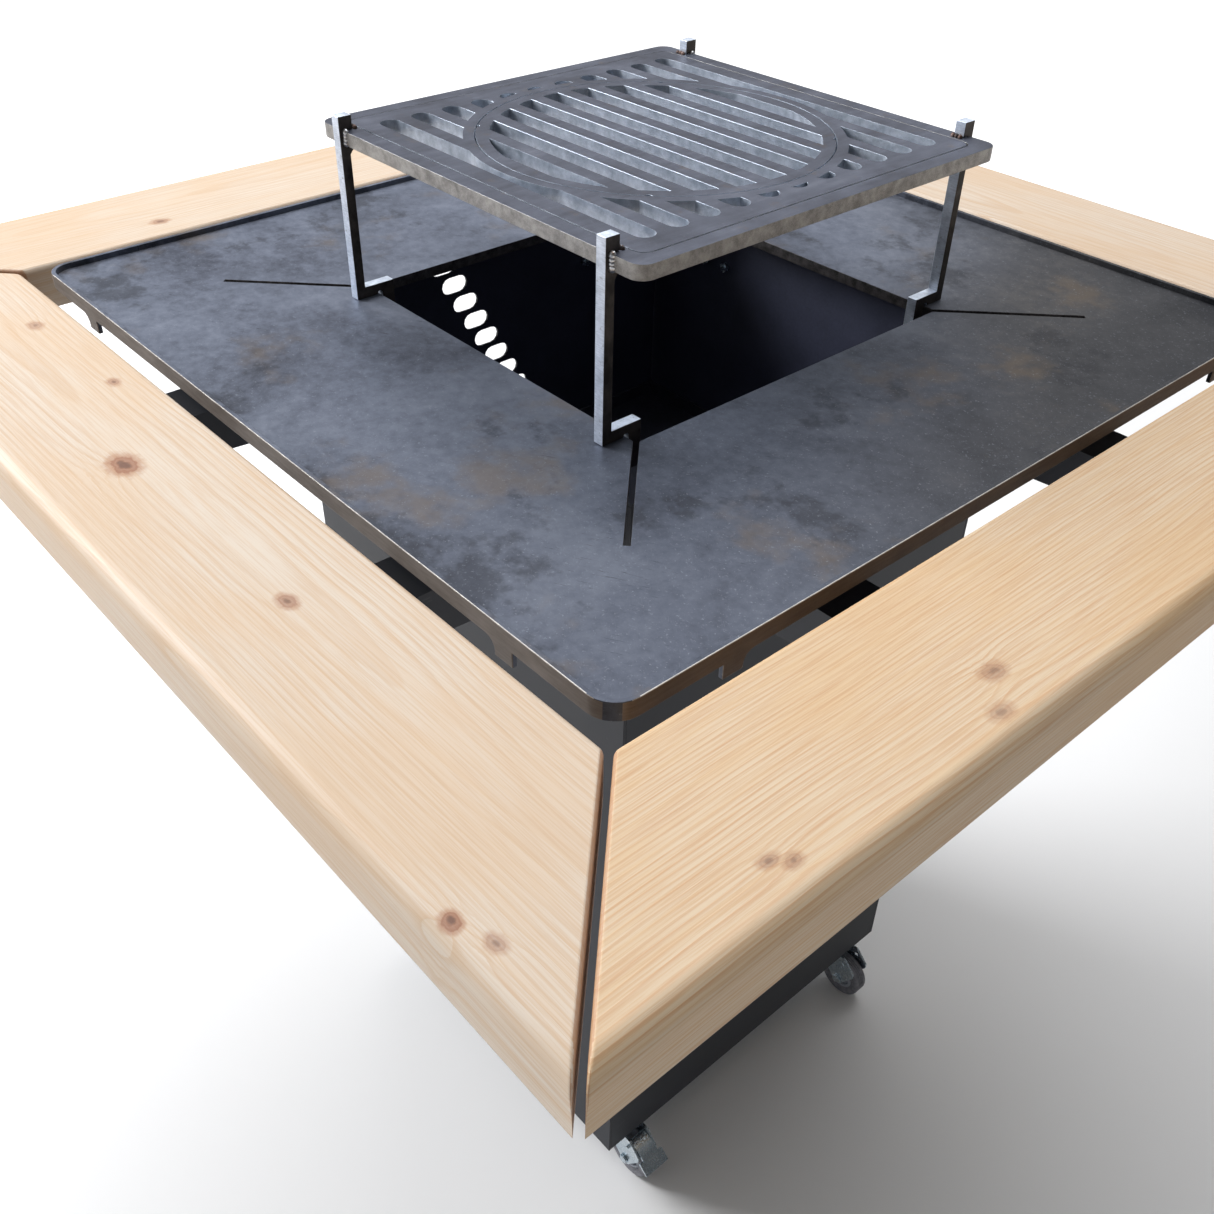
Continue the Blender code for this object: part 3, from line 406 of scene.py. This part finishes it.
def pine(side, pith, taper, knots, tones, ends=False):
    """Planed pine from a log whose pith runs along the plank: its distance across from the plank's
    middle and below its top, and how much it slants. A knot is (along, across, radius, strength)."""
    f = Finish(f"pine_{side}" + ("_end" if ends else ""))
    local = f.turned(rotation=(0, 0, SIDES[side] + math.pi / 2))
    x, y, z = f.split(local)
    across = y + PLANK_MIDDLE
    height = z - PLANK_TOP
    wander = f.noise(2.2, 2.0, 0.5, f.join(x, across * 0.8, height)) - 0.5
    waver = f.noise(9.0, 3.0, 0.55, f.join(x * 0.35, across, height)) - 0.5
    ragged = f.noise(130.0, 3.0, 0.6, local) - 0.5
    pull = eye = bark = heart = 0.0
    for along, middle, radius, strength in knots:
        dx = (x - along) / KNOT_STRETCH
        dy = across - middle
        reach = (dx * dx + dy * dy).root() + 0.9 * radius * ragged
        near = (reach * reach / (-(2.2 * radius) ** 2)).maths("EXPONENT")
        side_of = dy / (reach + radius * 0.5)
        pull = near * side_of * (strength * radius * 1.6) + pull
        core = f.between(reach, radius * 0.72, radius * 0.90, 1.0, 0.0)
        rings = 0.96 + 0.04 * (reach * (math.tau / (radius * 0.30))).sine()
        eye = (core * rings * strength).most(eye)
        rim = f.between(reach, radius * 0.66, radius * 0.84)
        rim = rim * f.between(reach, radius * 0.90, radius * 1.5, 1.0, 0.0)
        bark = (rim * strength).most(bark)
        heart = (f.between(reach, radius * 0.20, radius * 0.50, 1.0, 0.0) * strength).most(heart)
    up = height + pith[1]
    aside = across - pith[0] + 0.030 * wander + pull
    depth = (aside * aside + up * up).root() + taper * x + 0.004 * waver + 0.010 * wander
    ring = (depth / RING_PITCH + 0.45 * waver).fraction()
    late = f.between(ring, 0.45, 0.93) * f.between(ring, 0.94, 1.0, 1.0, 0.0)
    seasons = f.noise(1.0 / (RING_PITCH * 2.4), 1.0, 0.5, f.join(depth, 0.0, 0.0))
    late = late * f.between(seasons, 0.25, 0.75, 0.45, 1.0)
    fibre = f.noise(700.0, 4.0, 0.70, f.join(x * 0.018, across, height))
    pores = f.noise(2400.0, 2.0, 0.6, f.join(x * 0.030, across, height))
    blotch = f.noise(4.0, 3.0, 0.55, f.join(x, across * 1.5, height))
    early, dark, rich = tones
    colour = f.mix(late * 0.66, early, dark)
    colour = f.mix(f.between(blotch, 0.42, 0.66) * 0.60, colour, rich)
    streak = f.noise(150.0, 3.0, 0.6, f.join(x * 0.030, across, height))
    colour = f.mix(f.between(streak, 0.46, 0.62) * 0.34, colour, rich)
    colour = f.mix(f.between(fibre, 0.44, 0.62) * 0.42, colour, dark)
    if knots:
        colour = f.mix(bark * 0.60, colour, BARK_BROWN)
        colour = f.mix(eye * 0.88, colour, KNOT_BROWN)
        colour = f.mix(heart * 0.75, colour, HEART_BROWN)
    if ends:
        colour = f.mix(0.55, colour, END_BROWN)
    rough = 0.50 + 0.14 * fibre - 0.08 * late
    relief = 0.55 * late + 0.35 * fibre + 0.15 * pores
    return f.set(Base_Color=colour, Roughness=rough, Metallic=0.0,
                 Normal=f.bump(relief, 0.16 * MM, 0.7))


# ---------------------------------------------------------------- piece helpers
MERGE_GAP = 2e-6  # metres, as the next two are
SEAM_GAP = 1e-6
SAME_PLACE = 1e-5
FLAT_WITHIN = math.radians(1.0)
SOFT_SEGMENTS = 2  # in a bevel that only takes an edge's sharpness off
FACES_UP = 0.75
FACES_SIDEWAYS = 0.7
FACES_INWARD = -0.5

# How far each kind of piece has its edges rounded over.
EDGE = {"plate": 0.5 * MM, "rim": 0.7 * MM, "grate": 0.45 * MM, "rest": 0.3 * MM, "leg": 0.7 * MM,
        "base": 0.6 * MM, "arm": 0.8 * MM, "bolt": 0.35 * MM, "castor_plate": 0.3 * MM,
        "fork": 0.45 * MM, "pedal": 0.5 * MM}


def body_of(node):
    return frame["nodes"][node]["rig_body"]


def slot_of(node):
    rows = frame["record"]["subparts"]
    return next(row["material_slot"] for row in rows if row["node"] == node)


def middle_of(node):
    low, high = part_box(node)
    return (low + high) / 2


def halves(node):
    """Half a node's extent along X, Y and Z."""
    low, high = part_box(node)
    return [(top - bottom) / 2 for bottom, top in zip(low, high)]


def finished(name, bm, materials, body, slot, replaces=(), smooth_angle=30.0):
    """Turns a bmesh into a piece of the object that rides on a body."""
    mesh = bpy.data.meshes.new(name)
    bm.to_mesh(mesh)
    bm.free()
    for each in materials:
        mesh.materials.append(each)
    mesh.shade_smooth()
    mesh.set_sharp_from_angle(angle=math.radians(smooth_angle))
    piece = bpy.data.objects.new(name, mesh)
    bpy.context.scene.collection.objects.link(piece)
    weighted = piece.modifiers.new("weighted_normals", "WEIGHTED_NORMAL")
    weighted.mode = "FACE_AREA"
    weighted.weight = 100
    weighted.keep_sharp = True
    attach(piece, body)
    if replaces:
        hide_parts(*replaces)


def copy_of_node(node):
    """The node's mesh with its loose triangles merged and its flat faces whole."""
    bm = bmesh.new()
    bm.from_mesh(frame["nodes"][node].data)
    bmesh.ops.remove_doubles(bm, verts=bm.verts, dist=MERGE_GAP)
    bmesh.ops.dissolve_limit(bm, angle_limit=FLAT_WITHIN, verts=bm.verts, edges=bm.edges)
    return bm


def sharp_edges(bm, degrees):
    limit = math.radians(degrees)
    pairs = [edge for edge in bm.edges if len(edge.link_faces) == 2]
    return [edge for edge in pairs if edge.calc_face_angle(0.0) > limit]


def rounded(bm, edges, radius, segments):
    bmesh.ops.bevel(bm, geom=edges, offset=radius, offset_type="OFFSET", segments=segments,
                    profile=0.5, affect="EDGES", clamp_overlap=True, material=-1)


def soften(bm, radius, degrees=40.0):
    """Rounds the sharp edges over."""
    rounded(bm, sharp_edges(bm, degrees), radius, SOFT_SEGMENTS)


def worked(node, radius, materials, paint=None, degrees=40.0):
    """A node again, with its edges rounded as the real piece's are."""
    bm = copy_of_node(node)
    soften(bm, radius, degrees)
    if paint:
        for face in bm.faces:
            face.material_index = paint(face)
    finished(f"{node}_finished", bm, materials, body_of(node), slot_of(node), [node])


def flat_or_cut(face):
    """0 on faces that look up or down, 1 on the cut faces round the sides."""
    return 0 if abs(face.normal.z) > FACES_UP else 1


def cylinder(radius, low, high, segments, top_radius=None):
    bm = bmesh.new()
    bmesh.ops.create_cone(bm, cap_ends=True, segments=segments, radius1=radius,
                          radius2=radius if top_radius is None else top_radius, depth=high - low)
    bmesh.ops.translate(bm, verts=bm.verts, vec=(0, 0, (low + high) / 2))
    return bm


def merged(parts):
    """Several bmeshes in one."""
    whole = bmesh.new()
    for part in parts:
        loose = bpy.data.meshes.new("loose")
        part.to_mesh(loose)
        part.free()
        whole.from_mesh(loose)
        bpy.data.meshes.remove(loose)
    return whole


def moved(bm, matrix):
    bmesh.ops.transform(bm, verts=bm.verts, matrix=matrix)
    return bm


# ---------------------------------------------------------------- sizes taken from the frame
plank_low, plank_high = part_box("table_plank_front")
PLANK_TOP = plank_high.z
PLANK_MIDDLE = -(plank_low.y + plank_high.y) / 2
RING_PITCH = 3.4 * MM


# ---------------------------------------------------------------- griddle and grate
BAR, EDGE_HIGHLIGHT, PLATE = range(3)
# Width of the painted highlight along the rim's top outer edge.
EDGE_HIGHLIGHT_WIDTH = 0.8 * MM
BAR_SKIN = 2.0 * MM
RIM_FACES_UP = 0.2


def griddle():
    top = rolled_plate()
    cut = cut_edge("griddle_edge", (0.040, 0.036, 0.036), (0.150, 0.140, 0.140))
    worked("griddle_plate", EDGE["plate"], [top, cut], flat_or_cut)
    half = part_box("griddle_rim")[1].x
    # Painted highlight: a bright finish for the rim's rounded top outer edge, where it catches the
    # light.
    rubbed = cut_edge("rim_edge_highlight", (0.30, 0.29, 0.28), (0.55, 0.53, 0.50))

    def paint(face):
        middle = face.calc_center_median()
        out = max(abs(middle.x), abs(middle.y))
        # The outermost strip of the rim's top gets the painted highlight.
        if middle.z > PLANK_TOP and face.normal.z > RIM_FACES_UP:
            return EDGE_HIGHLIGHT if out > half - EDGE_HIGHLIGHT_WIDTH else PLATE
        return PLATE if out < half - BAR_SKIN else BAR

    worked("griddle_rim", EDGE["rim"], [browned_bar(), rubbed, top], paint)


def grate():
    top = grate_top()
    light = cut_edge("grate_cut", (0.170, 0.165, 0.160), (0.420, 0.410, 0.395))
    slot_wall = cut_edge("slot_cut", (0.300, 0.345, 0.410), (0.580, 0.630, 0.710))
    for node, wall in (("grate_frame", light), ("grate_panel", slot_wall), ("grate_insert", slot_wall)):
        worked(node, EDGE["grate"], [top, wall], flat_or_cut)
    for node in ("panel_rest", "insert_rest"):
        worked(node, EDGE["rest"], [top, light], flat_or_cut)
    bar = [leg_steel(), leg_side()]
    for side in ("front", "back"):
        for end in ("left", "right"):
            worked(f"grate_leg_{side}_{end}", EDGE["leg"], bar,
                   lambda face: int(abs(face.normal.x) > FACES_SIDEWAYS))


# A drop's random sizes along X, Y and Z, as shares of its radius.
DROP_SPANS = ((0.75, 0.95), (0.65, 0.85), (0.85, 1.1))
DROP_WOBBLE = 0.10
WOBBLE_PITCH = 1.6
FLANK_DROP_R = 3.7 * MM
FLANK_DROPS_DOWN = (1.2, 4.0, 6.9, 9.7)  # mm under the grate's face
FLANK_OUT = 0.6 * MM
FLANK_IN = 0.4 * MM
TOP_DROP_R = 2.8 * MM
TOP_DROPS_ALONG = (-3.5, 0.0, 3.5)  # mm from the leg's middle
TOP_DROPS_BACK = 11.2 * MM
TOP_DROPS_UP = 0.2 * MM
TOP_SEED = 7
WELD_SMOOTH = 80


def bead(spots, radius, seed):
    """A run of overlapping weld drops."""
    rng = random.Random(seed)
    drops = []
    for spot in spots:
        drop = bmesh.new()
        bmesh.ops.create_icosphere(drop, subdivisions=3, radius=1.0)
        for vert in drop.verts:
            vert.co *= 1.0 + DROP_WOBBLE * noise.noise(vert.co * WOBBLE_PITCH + Vector((seed, 0, 0)))
        size = Vector([rng.uniform(*span) for span in DROP_SPANS]) * radius
        drops.append(moved(drop, Matrix.Translation(spot) @ Matrix.Diagonal(size).to_4x4()))
    return merged(drops)


def leg_welds():
    """Each leg is welded to the grate's edge on one flank, and on top behind its ear."""
    bright, scorched = weld_bead(), heat_tint()
    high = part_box("grate_frame")[1]
    for side, sign in (("front", -1), ("back", 1)):
        for end in ("left", "right"):
            name = f"grate_leg_{side}_{end}"
            leg_low, leg_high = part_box(name)
            flank = leg_high.x if end == "left" or side == "front" else leg_low.x
            out = sign * high.y
            spots = [Vector((flank + FLANK_OUT, out - sign * FLANK_IN, high.z - down * MM))
                     for down in FLANK_DROPS_DOWN]
            run = bead(spots, FLANK_DROP_R, len(name) + ord(end[0]))
            finished(f"{name}_weld", run, [bright], "grate", "leg_steel", smooth_angle=WELD_SMOOTH)
            middle = (leg_low.x + leg_high.x) / 2
            back = sign * (high.y - TOP_DROPS_BACK)
            spots = [Vector((middle + along * MM, back, high.z + TOP_DROPS_UP))
                     for along in TOP_DROPS_ALONG]
            run = bead(spots, TOP_DROP_R, TOP_SEED + len(name))
            finished(f"{name}_top_weld", run, [scorched], "grate", "leg_steel", smooth_angle=WELD_SMOOTH)


# ---------------------------------------------------------------- body and arms
FINE_DEGREES = 35


def body(zinc):
    coat, soot, inside = black_coat(), sooty_coat(), inner_coat()
    for side, angle in SIDES.items():
        out = Matrix.Rotation(angle, 3, "Z") @ Vector((1, 0, 0))
        worked(f"body_{side}_panel", EDGE["plate"], [coat, inside],
               lambda face: int(face.normal.dot(out) < FACES_INWARD))
    worked("base_plate", EDGE["base"], [coat])
    worked("fire_floor", EDGE["plate"], [soot])
    for node in frame["nodes"]:
        if node.startswith("arm_bolts"):
            worked(node, EDGE["bolt"], [zinc], degrees=FINE_DEGREES)
        elif node.startswith("arm_"):
            worked(node, EDGE["arm"], [coat])


# ---------------------------------------------------------------- table edge
OUTER_ROUND = 14 * MM
INNER_ROUND = 5 * MM
END_ROUND = 8.5 * MM
ARRIS = 1.2 * MM
MITRE_FACE = 0.6
END_GRAIN = 0.30


def plank(side, materials):
    """A mitred plank with a wide rounded outer edge, cut square underneath."""
    low, high = plank_low, plank_high
    back = (high.x - low.x) / 2
    shift = -low.y - back
    outline = [(low.x, low.y), (high.x, low.y), (-high.y - shift, high.y), (high.y + shift, high.y)]
    bm = bmesh.new()
    face = bm.faces.new([bm.verts.new((x, y, low.z)) for x, y in outline])
    raised = bmesh.ops.extrude_face_region(bm, geom=[face], use_keep_orig=True)["geom"]
    verts = [item for item in raised if isinstance(item, bmesh.types.BMVert)]
    bmesh.ops.translate(bm, verts=verts, vec=(0, 0, high.z - low.z))
    bmesh.ops.recalc_face_normals(bm, faces=bm.faces)

    def along(y):
        """The edges that run along the plank's top at y."""
        return [edge for edge in bm.edges
                if all(abs(v.co.y - y) < SAME_PLACE and abs(v.co.z - high.z) < SAME_PLACE
                       for v in edge.verts)]

    rounded(bm, along(low.y), OUTER_ROUND, 10)
    rounded(bm, along(high.y), INNER_ROUND, 6)
    ends = [f for f in bm.faces if min(abs(f.normal.x), abs(f.normal.y)) > MITRE_FACE]
    level = {e for f in ends for e in f.edges if (e.verts[0].co - e.verts[1].co).xy.length > SEAM_GAP}
    foot = low.z + SAME_PLACE
    rounded(bm, [e for e in level if min(v.co.z for v in e.verts) > foot], END_ROUND, 8)
    rounded(bm, sharp_edges(bm, 60), ARRIS, SOFT_SEGMENTS)
    for f in bm.faces:
        f.material_index = 1 if min(abs(f.normal.x), abs(f.normal.y)) > END_GRAIN else 0
    moved(bm, Matrix.Rotation(SIDES[side] + math.pi / 2, 4, "Z"))
    node = f"table_plank_{side}"
    finished(f"{node}_planed", bm, materials, "chassis", "pine", [node], 40)


def table_edge():
    pale = ((0.545, 0.465, 0.380), (0.450, 0.290, 0.165), (0.535, 0.390, 0.260))
    warm = ((0.565, 0.440, 0.300), (0.450, 0.235, 0.100), (0.550, 0.365, 0.190))
    boards = {
        "front": ((0.012, 0.052), 0.010, pale,
                  [(-0.030, -0.002, 0.0105, 1.0), (-0.154, 0.046, 0.0050, 0.7),
                   (-0.295, 0.038, 0.0060, 0.6), (0.188, 0.006, 0.0060, 0.8),
                   (0.454, -0.060, 0.0048, 1.0), (0.478, -0.052, 0.0045, 0.6)]),
        "right": ((-0.075, 0.040), 0.012, warm,
                  [(-0.200, -0.026, 0.0070, 0.6), (-0.226, -0.050, 0.0065, 0.5),
                   (-0.408, -0.038, 0.0045, 0.6), (-0.398, -0.046, 0.0045, 0.6),
                   (0.190, 0.020, 0.0070, 0.8)]),
        "back": ((0.030, 0.060), -0.012, pale,
                 [(0.120, 0.020, 0.0070, 0.8), (-0.310, -0.030, 0.0080, 0.9)]),
        "left": ((-0.020, 0.048), 0.014, pale,
                 [(-0.180, -0.010, 0.0090, 0.9), (0.260, 0.035, 0.0065, 0.7)]),
    }
    for side, (pith, taper, tones, knots) in boards.items():
        plank(side, [pine(side, pith, taper, knots, tones),
                     pine(side, pith, taper, [], tones, ends=True)])


SCREW_R = 4.2 * MM
SCREW_CROWN_R = 3.4 * MM
SCREW_HEIGHT = 2.2 * MM
SCREW_SOFT = 0.5 * MM
SCREW_SINK = 3.2 * MM
SCREWS_APART = (-0.030, 0.030)


def plank_screws(zinc):
    """Pan-head screws up through each arm into its plank."""
    for side, angle in SIDES.items():
        turn = Matrix.Rotation(angle, 3, "Z")
        heads = []
        for node in frame["nodes"]:
            if node.startswith(f"arm_{side}_"):
                low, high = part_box(node)
                aside = (turn.inverted() @ (low + high) / 2).y
                for step in SCREWS_APART:
                    head = cylinder(SCREW_R, -SCREW_HEIGHT, 0, 20, SCREW_CROWN_R)
                    soften(head, SCREW_SOFT, 50)
                    spot = turn @ Vector((PLANK_MIDDLE + step, aside, 0))
                    spot.z = high.z - SCREW_SINK
                    heads.append(moved(head, Matrix.Translation(spot)))
        finished(f"plank_screws_{side}", merged(heads), [zinc], "chassis", "zinc")


# ---------------------------------------------------------------- castors
def turned_piece(profile, centre, segments):
    """A closed (radius, along) profile spun about the wheel's axis, which lies along Y."""
    bm = bmesh.new()
    verts = [bm.verts.new((r, y, 0)) for r, y in profile]
    edges = [bm.edges.new((a, b)) for a, b in zip(verts, verts[1:] + verts[:1])]
    bmesh.ops.spin(bm, geom=verts + edges, cent=(0, 0, 0), axis=(0, 1, 0), angle=math.tau,
                   steps=segments, use_merge=True, use_duplicate=False)
    bmesh.ops.remove_doubles(bm, verts=bm.verts, dist=SEAM_GAP)
    bmesh.ops.recalc_face_normals(bm, faces=bm.faces)
    return moved(bm, Matrix.Translation(centre))


# Shares of the tyre's radius and half width, but for the gap and the grooves' depth in mm.
TYRE_GAP = 0.3 * MM
TYRE_FOOT = 0.84
TYRE_FLANK = ((0.70, 0.90), (0.74, 1.0))
TYRE_CROWN = 0.88
TYRE_SHOULDER = 0.30
SHOULDER_STEPS = 6
GROOVES = (-0.30, 0.0, 0.30)
GROOVE_SHAPE = ((-0.07, 0.0), (-0.045, 0.7), (0.045, 0.7), (0.07, 0.0))


def tyre(corner, material):
    node = f"castor_{corner}_tyre"
    _, side, outer = halves(node)
    inner = halves(f"castor_{corner}_hub")[2] + TYRE_GAP
    crown = outer * TYRE_CROWN
    profile = [(inner, -side * TYRE_FOOT)]
    profile += [(outer * reach, -side * along) for reach, along in TYRE_FLANK]
    profile.append((crown, -side))
    for i in range(1, SHOULDER_STEPS + 1):
        turn = math.pi / 2 * i / SHOULDER_STEPS
        reach = crown + (outer - crown) * math.sin(turn)
        profile.append((reach, -side + side * TYRE_SHOULDER * (1 - math.cos(turn))))
    flank = list(profile)
    for groove in GROOVES:
        for step, depth in GROOVE_SHAPE:
            profile.append((outer - depth * MM, side * (groove + step)))
    profile += [(r, -y) for r, y in reversed(flank)]
    bm = turned_piece(profile, middle_of(node), 72)
    finished(f"{node}_tread", bm, [material], f"wheel_{corner}", "grey_rubber", [node], 35)


# Shares of the axle's radius and of half the boss's width.
BORE_SHARE = 0.64
WEB_SHARE = 0.50
RIM_SHARE = 0.78


def hub(corner, material):
    node = f"castor_{corner}_hub"
    _, boss, outer = halves(node)
    bore = halves(f"castor_{corner}_axle")[0] * BORE_SHARE
    web, rim = boss * WEB_SHARE, boss * RIM_SHARE
    half = [(bore, -boss), (bore + 3.6 * MM, -boss), (bore + 4.2 * MM, -boss + 0.6 * MM),
            (bore + 4.6 * MM, -web), (outer - 4.6 * MM, -web), (outer - 4.0 * MM, -boss * 0.74),
            (outer - 3.4 * MM, -rim), (outer - 0.5 * MM, -rim), (outer, -boss * 0.72)]
    whole = half + [(r, -y) for r, y in reversed(half)]
    bm = turned_piece(whole, middle_of(f"castor_{corner}_tyre"), 60)
    finished(f"{node}_moulded", bm, [material], f"wheel_{corner}", "hub_nylon", [node], 35)


RIBS = 6
RIB_THICK = 1.6 * MM
RIB_SOFT = 0.4 * MM
# Shares of the hub's radius, of half the boss's width and of the radius again.
RIB_LENGTH = 0.44
RIB_WIDTH = 1.36
RIB_MIDDLE = 0.62


def spokes(corner, material):
    """Moulded ribs between the hub's boss and its rim."""
    _, boss, outer = halves(f"castor_{corner}_hub")
    ribs = []
    for i in range(RIBS):
        rib = bmesh.new()
        bmesh.ops.create_cube(rib, size=1.0)
        moved(rib, Matrix.Diagonal((outer * RIB_LENGTH, boss * RIB_WIDTH, RIB_THICK, 1.0)))
        soften(rib, RIB_SOFT)
        moved(rib, Matrix.Translation((outer * RIB_MIDDLE, 0, 0)))
        ribs.append(moved(rib, Matrix.Rotation(i * math.tau / RIBS, 4, "Y")))
    bm = moved(merged(ribs), Matrix.Translation(middle_of(f"castor_{corner}_tyre")))
    finished(f"castor_{corner}_hub_ribs", bm, [material], f"wheel_{corner}", "hub_nylon")


NUT_HEIGHT = 3.0 * MM
NUT_SOFT = 0.35 * MM
DOME_SHARE = 0.62
DOME_RISE = 1.3 * MM
DOME_SQUASH = 0.44
SHANK_R = 3.4 * MM
SHANK_IN = 2 * MM


def axle_nut(corner, material):
    """A hex nut with a domed end on each end of the axle."""
    node = f"castor_{corner}_axle"
    low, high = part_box(node)
    centre = middle_of(node)
    reach, half, _ = halves(node)
    across = Matrix.Rotation(math.pi / 2, 4, "X")
    parts = []
    for foot in (-half + NUT_HEIGHT, half):
        nut = cylinder(reach, 0, NUT_HEIGHT, 6)
        soften(nut, NUT_SOFT)
        dome = bmesh.new()
        bmesh.ops.create_uvsphere(dome, u_segments=20, v_segments=12, radius=reach * DOME_SHARE)
        squash = Matrix.Diagonal((1, 1, DOME_SQUASH, 1))
        moved(dome, Matrix.Translation((0, 0, DOME_RISE)) @ squash)
        parts.append(moved(merged([nut, dome]), Matrix.Translation((0, foot, 0)) @ across))
    start, end = low.y - centre.y + SHANK_IN, high.y - centre.y - SHANK_IN
    parts.append(moved(cylinder(SHANK_R, start, end, 24), across))
    bm = moved(merged(parts), Matrix.Translation(centre))
    finished(f"{node}_bolt", bm, [material], f"castor_{corner}", "zinc", [node])


BOLT_SPREAD = 0.36
PLATE_DOWN = 2.5 * MM
WASHER_R = 5.2 * MM
WASHER_TOP = -0.1 * MM
WASHER_FOOT = -1.0 * MM
HEAD_R = 4.6 * MM
HEAD_FOOT = -4.2 * MM
HEAD_SOFT = 0.4 * MM


def plate_bolts(corner, material):
    """Four hex heads under the castor's top plate."""
    low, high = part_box(f"castor_{corner}_plate")
    centre = (low + high) / 2
    step = (high.x - low.x) * BOLT_SPREAD
    under = high.z - PLATE_DOWN
    heads = []
    for x in (-step, step):
        for y in (-step, step):
            washer = cylinder(WASHER_R, WASHER_FOOT, WASHER_TOP, 24)
            head = cylinder(HEAD_R, HEAD_FOOT, WASHER_FOOT, 6)
            soften(head, HEAD_SOFT)
            place = Matrix.Translation((centre.x + x, centre.y + y, under))
            heads.append(moved(merged([washer, head]), place))
    finished(f"castor_{corner}_plate_bolts", merged(heads), [material], "chassis", "zinc")


def castors(zinc):
    rubber, nylon = grey_rubber(), hub_nylon()
    for corner in CORNERS:
        tyre(corner, rubber)
        hub(corner, nylon)
        spokes(corner, nylon)
        axle_nut(corner, zinc)
        plate_bolts(corner, zinc)
        for part, radius in (("plate", "castor_plate"), ("fork", "fork"), ("brake_pedal", "pedal")):
            if f"castor_{corner}_{part}" in frame["nodes"]:
                worked(f"castor_{corner}_{part}", EDGE[radius], [zinc], degrees=FINE_DEGREES)


# ---------------------------------------------------------------- stage
FLOOR_SIZE = 60
FLOOR_Z = -0.5 * MM
GLOW_FROM = 1.6
GLOW_TO = 4.5
GLOW = 0.75
LAMP_AIM = (0, 0, 0.8)
DAYLIGHT = (0.97, 0.98, 1.0)


def stage_floor():
    bpy.ops.mesh.primitive_plane_add(size=FLOOR_SIZE)
    floor = bpy.context.active_object
    floor.name = "floor"
    floor.location.z = FLOOR_Z
    f = Finish("pale_floor")
    x, y, _ = f.split(f.place)
    glow = f.between((x * x + y * y).root(), GLOW_FROM, GLOW_TO, 0.0, GLOW)
    finish = f.set(Base_Color=(0.86, 0.86, 0.86), Roughness=0.9, Emission_Strength=1.0,
                   Emission_Color=f.join(glow, glow, glow))
    floor.data.materials.append(finish)


def lamp(name, at, size, power):
    data = bpy.data.lights.new(name, "AREA")
    data.shape = "RECTANGLE"
    data.size, data.size_y = size, size
    data.energy = power
    data.color = DAYLIGHT
    light = bpy.data.objects.new(name, data)
    light.location = at
    light.rotation_euler = (Vector(LAMP_AIM) - Vector(at)).to_track_quat("-Z", "Y").to_euler()
    bpy.context.scene.collection.objects.link(light)


def lights():
    """Two lamps, and a white surround that is dimmer towards +X."""
    lamp("window_left", (-3.0, -1.8, 2.9), 1.8, 215)
    lamp("sky", (-0.6, 0.9, 3.6), 3.0, 90)
    world = bpy.data.worlds.new("studio")
    world.use_nodes = True
    background = world.node_tree.nodes["Background"]
    background.inputs["Color"].default_value = (1.0, 1.0, 1.0, 1.0)
    way = world.node_tree.nodes.new("ShaderNodeTexCoord")
    split = world.node_tree.nodes.new("ShaderNodeSeparateXYZ")
    dim = world.node_tree.nodes.new("ShaderNodeMapRange")
    for key, value in (("From Min", -0.3), ("From Max", 0.7), ("To Min", 0.44), ("To Max", 0.10)):
        dim.inputs[key].default_value = value
    world.node_tree.links.new(way.outputs["Generated"], split.inputs[0])
    world.node_tree.links.new(split.outputs["X"], dim.inputs["Value"])
    world.node_tree.links.new(dim.outputs["Result"], background.inputs["Strength"])
    bpy.context.scene.world = world
    bpy.context.scene.view_settings.view_transform = "Standard"


def camera():
    data = bpy.data.cameras.new("camera")
    data.lens = CAMERA_LENS
    data.sensor_width = 36.0
    data.dof.use_dof = False
    data.clip_start, data.clip_end = 0.05, 100.0
    view = bpy.data.objects.new("camera", data)
    view.location = CAMERA_AT
    view.rotation_euler = [math.radians(turn) for turn in CAMERA_TURN]
    bpy.context.scene.collection.objects.link(view)
    bpy.context.scene.camera = view


griddle()
grate()
leg_welds()
bright_zinc = zinc_plate()
body(bright_zinc)
table_edge()
plank_screws(bright_zinc)
castors(bright_zinc)
stage_floor()
lights()
camera()
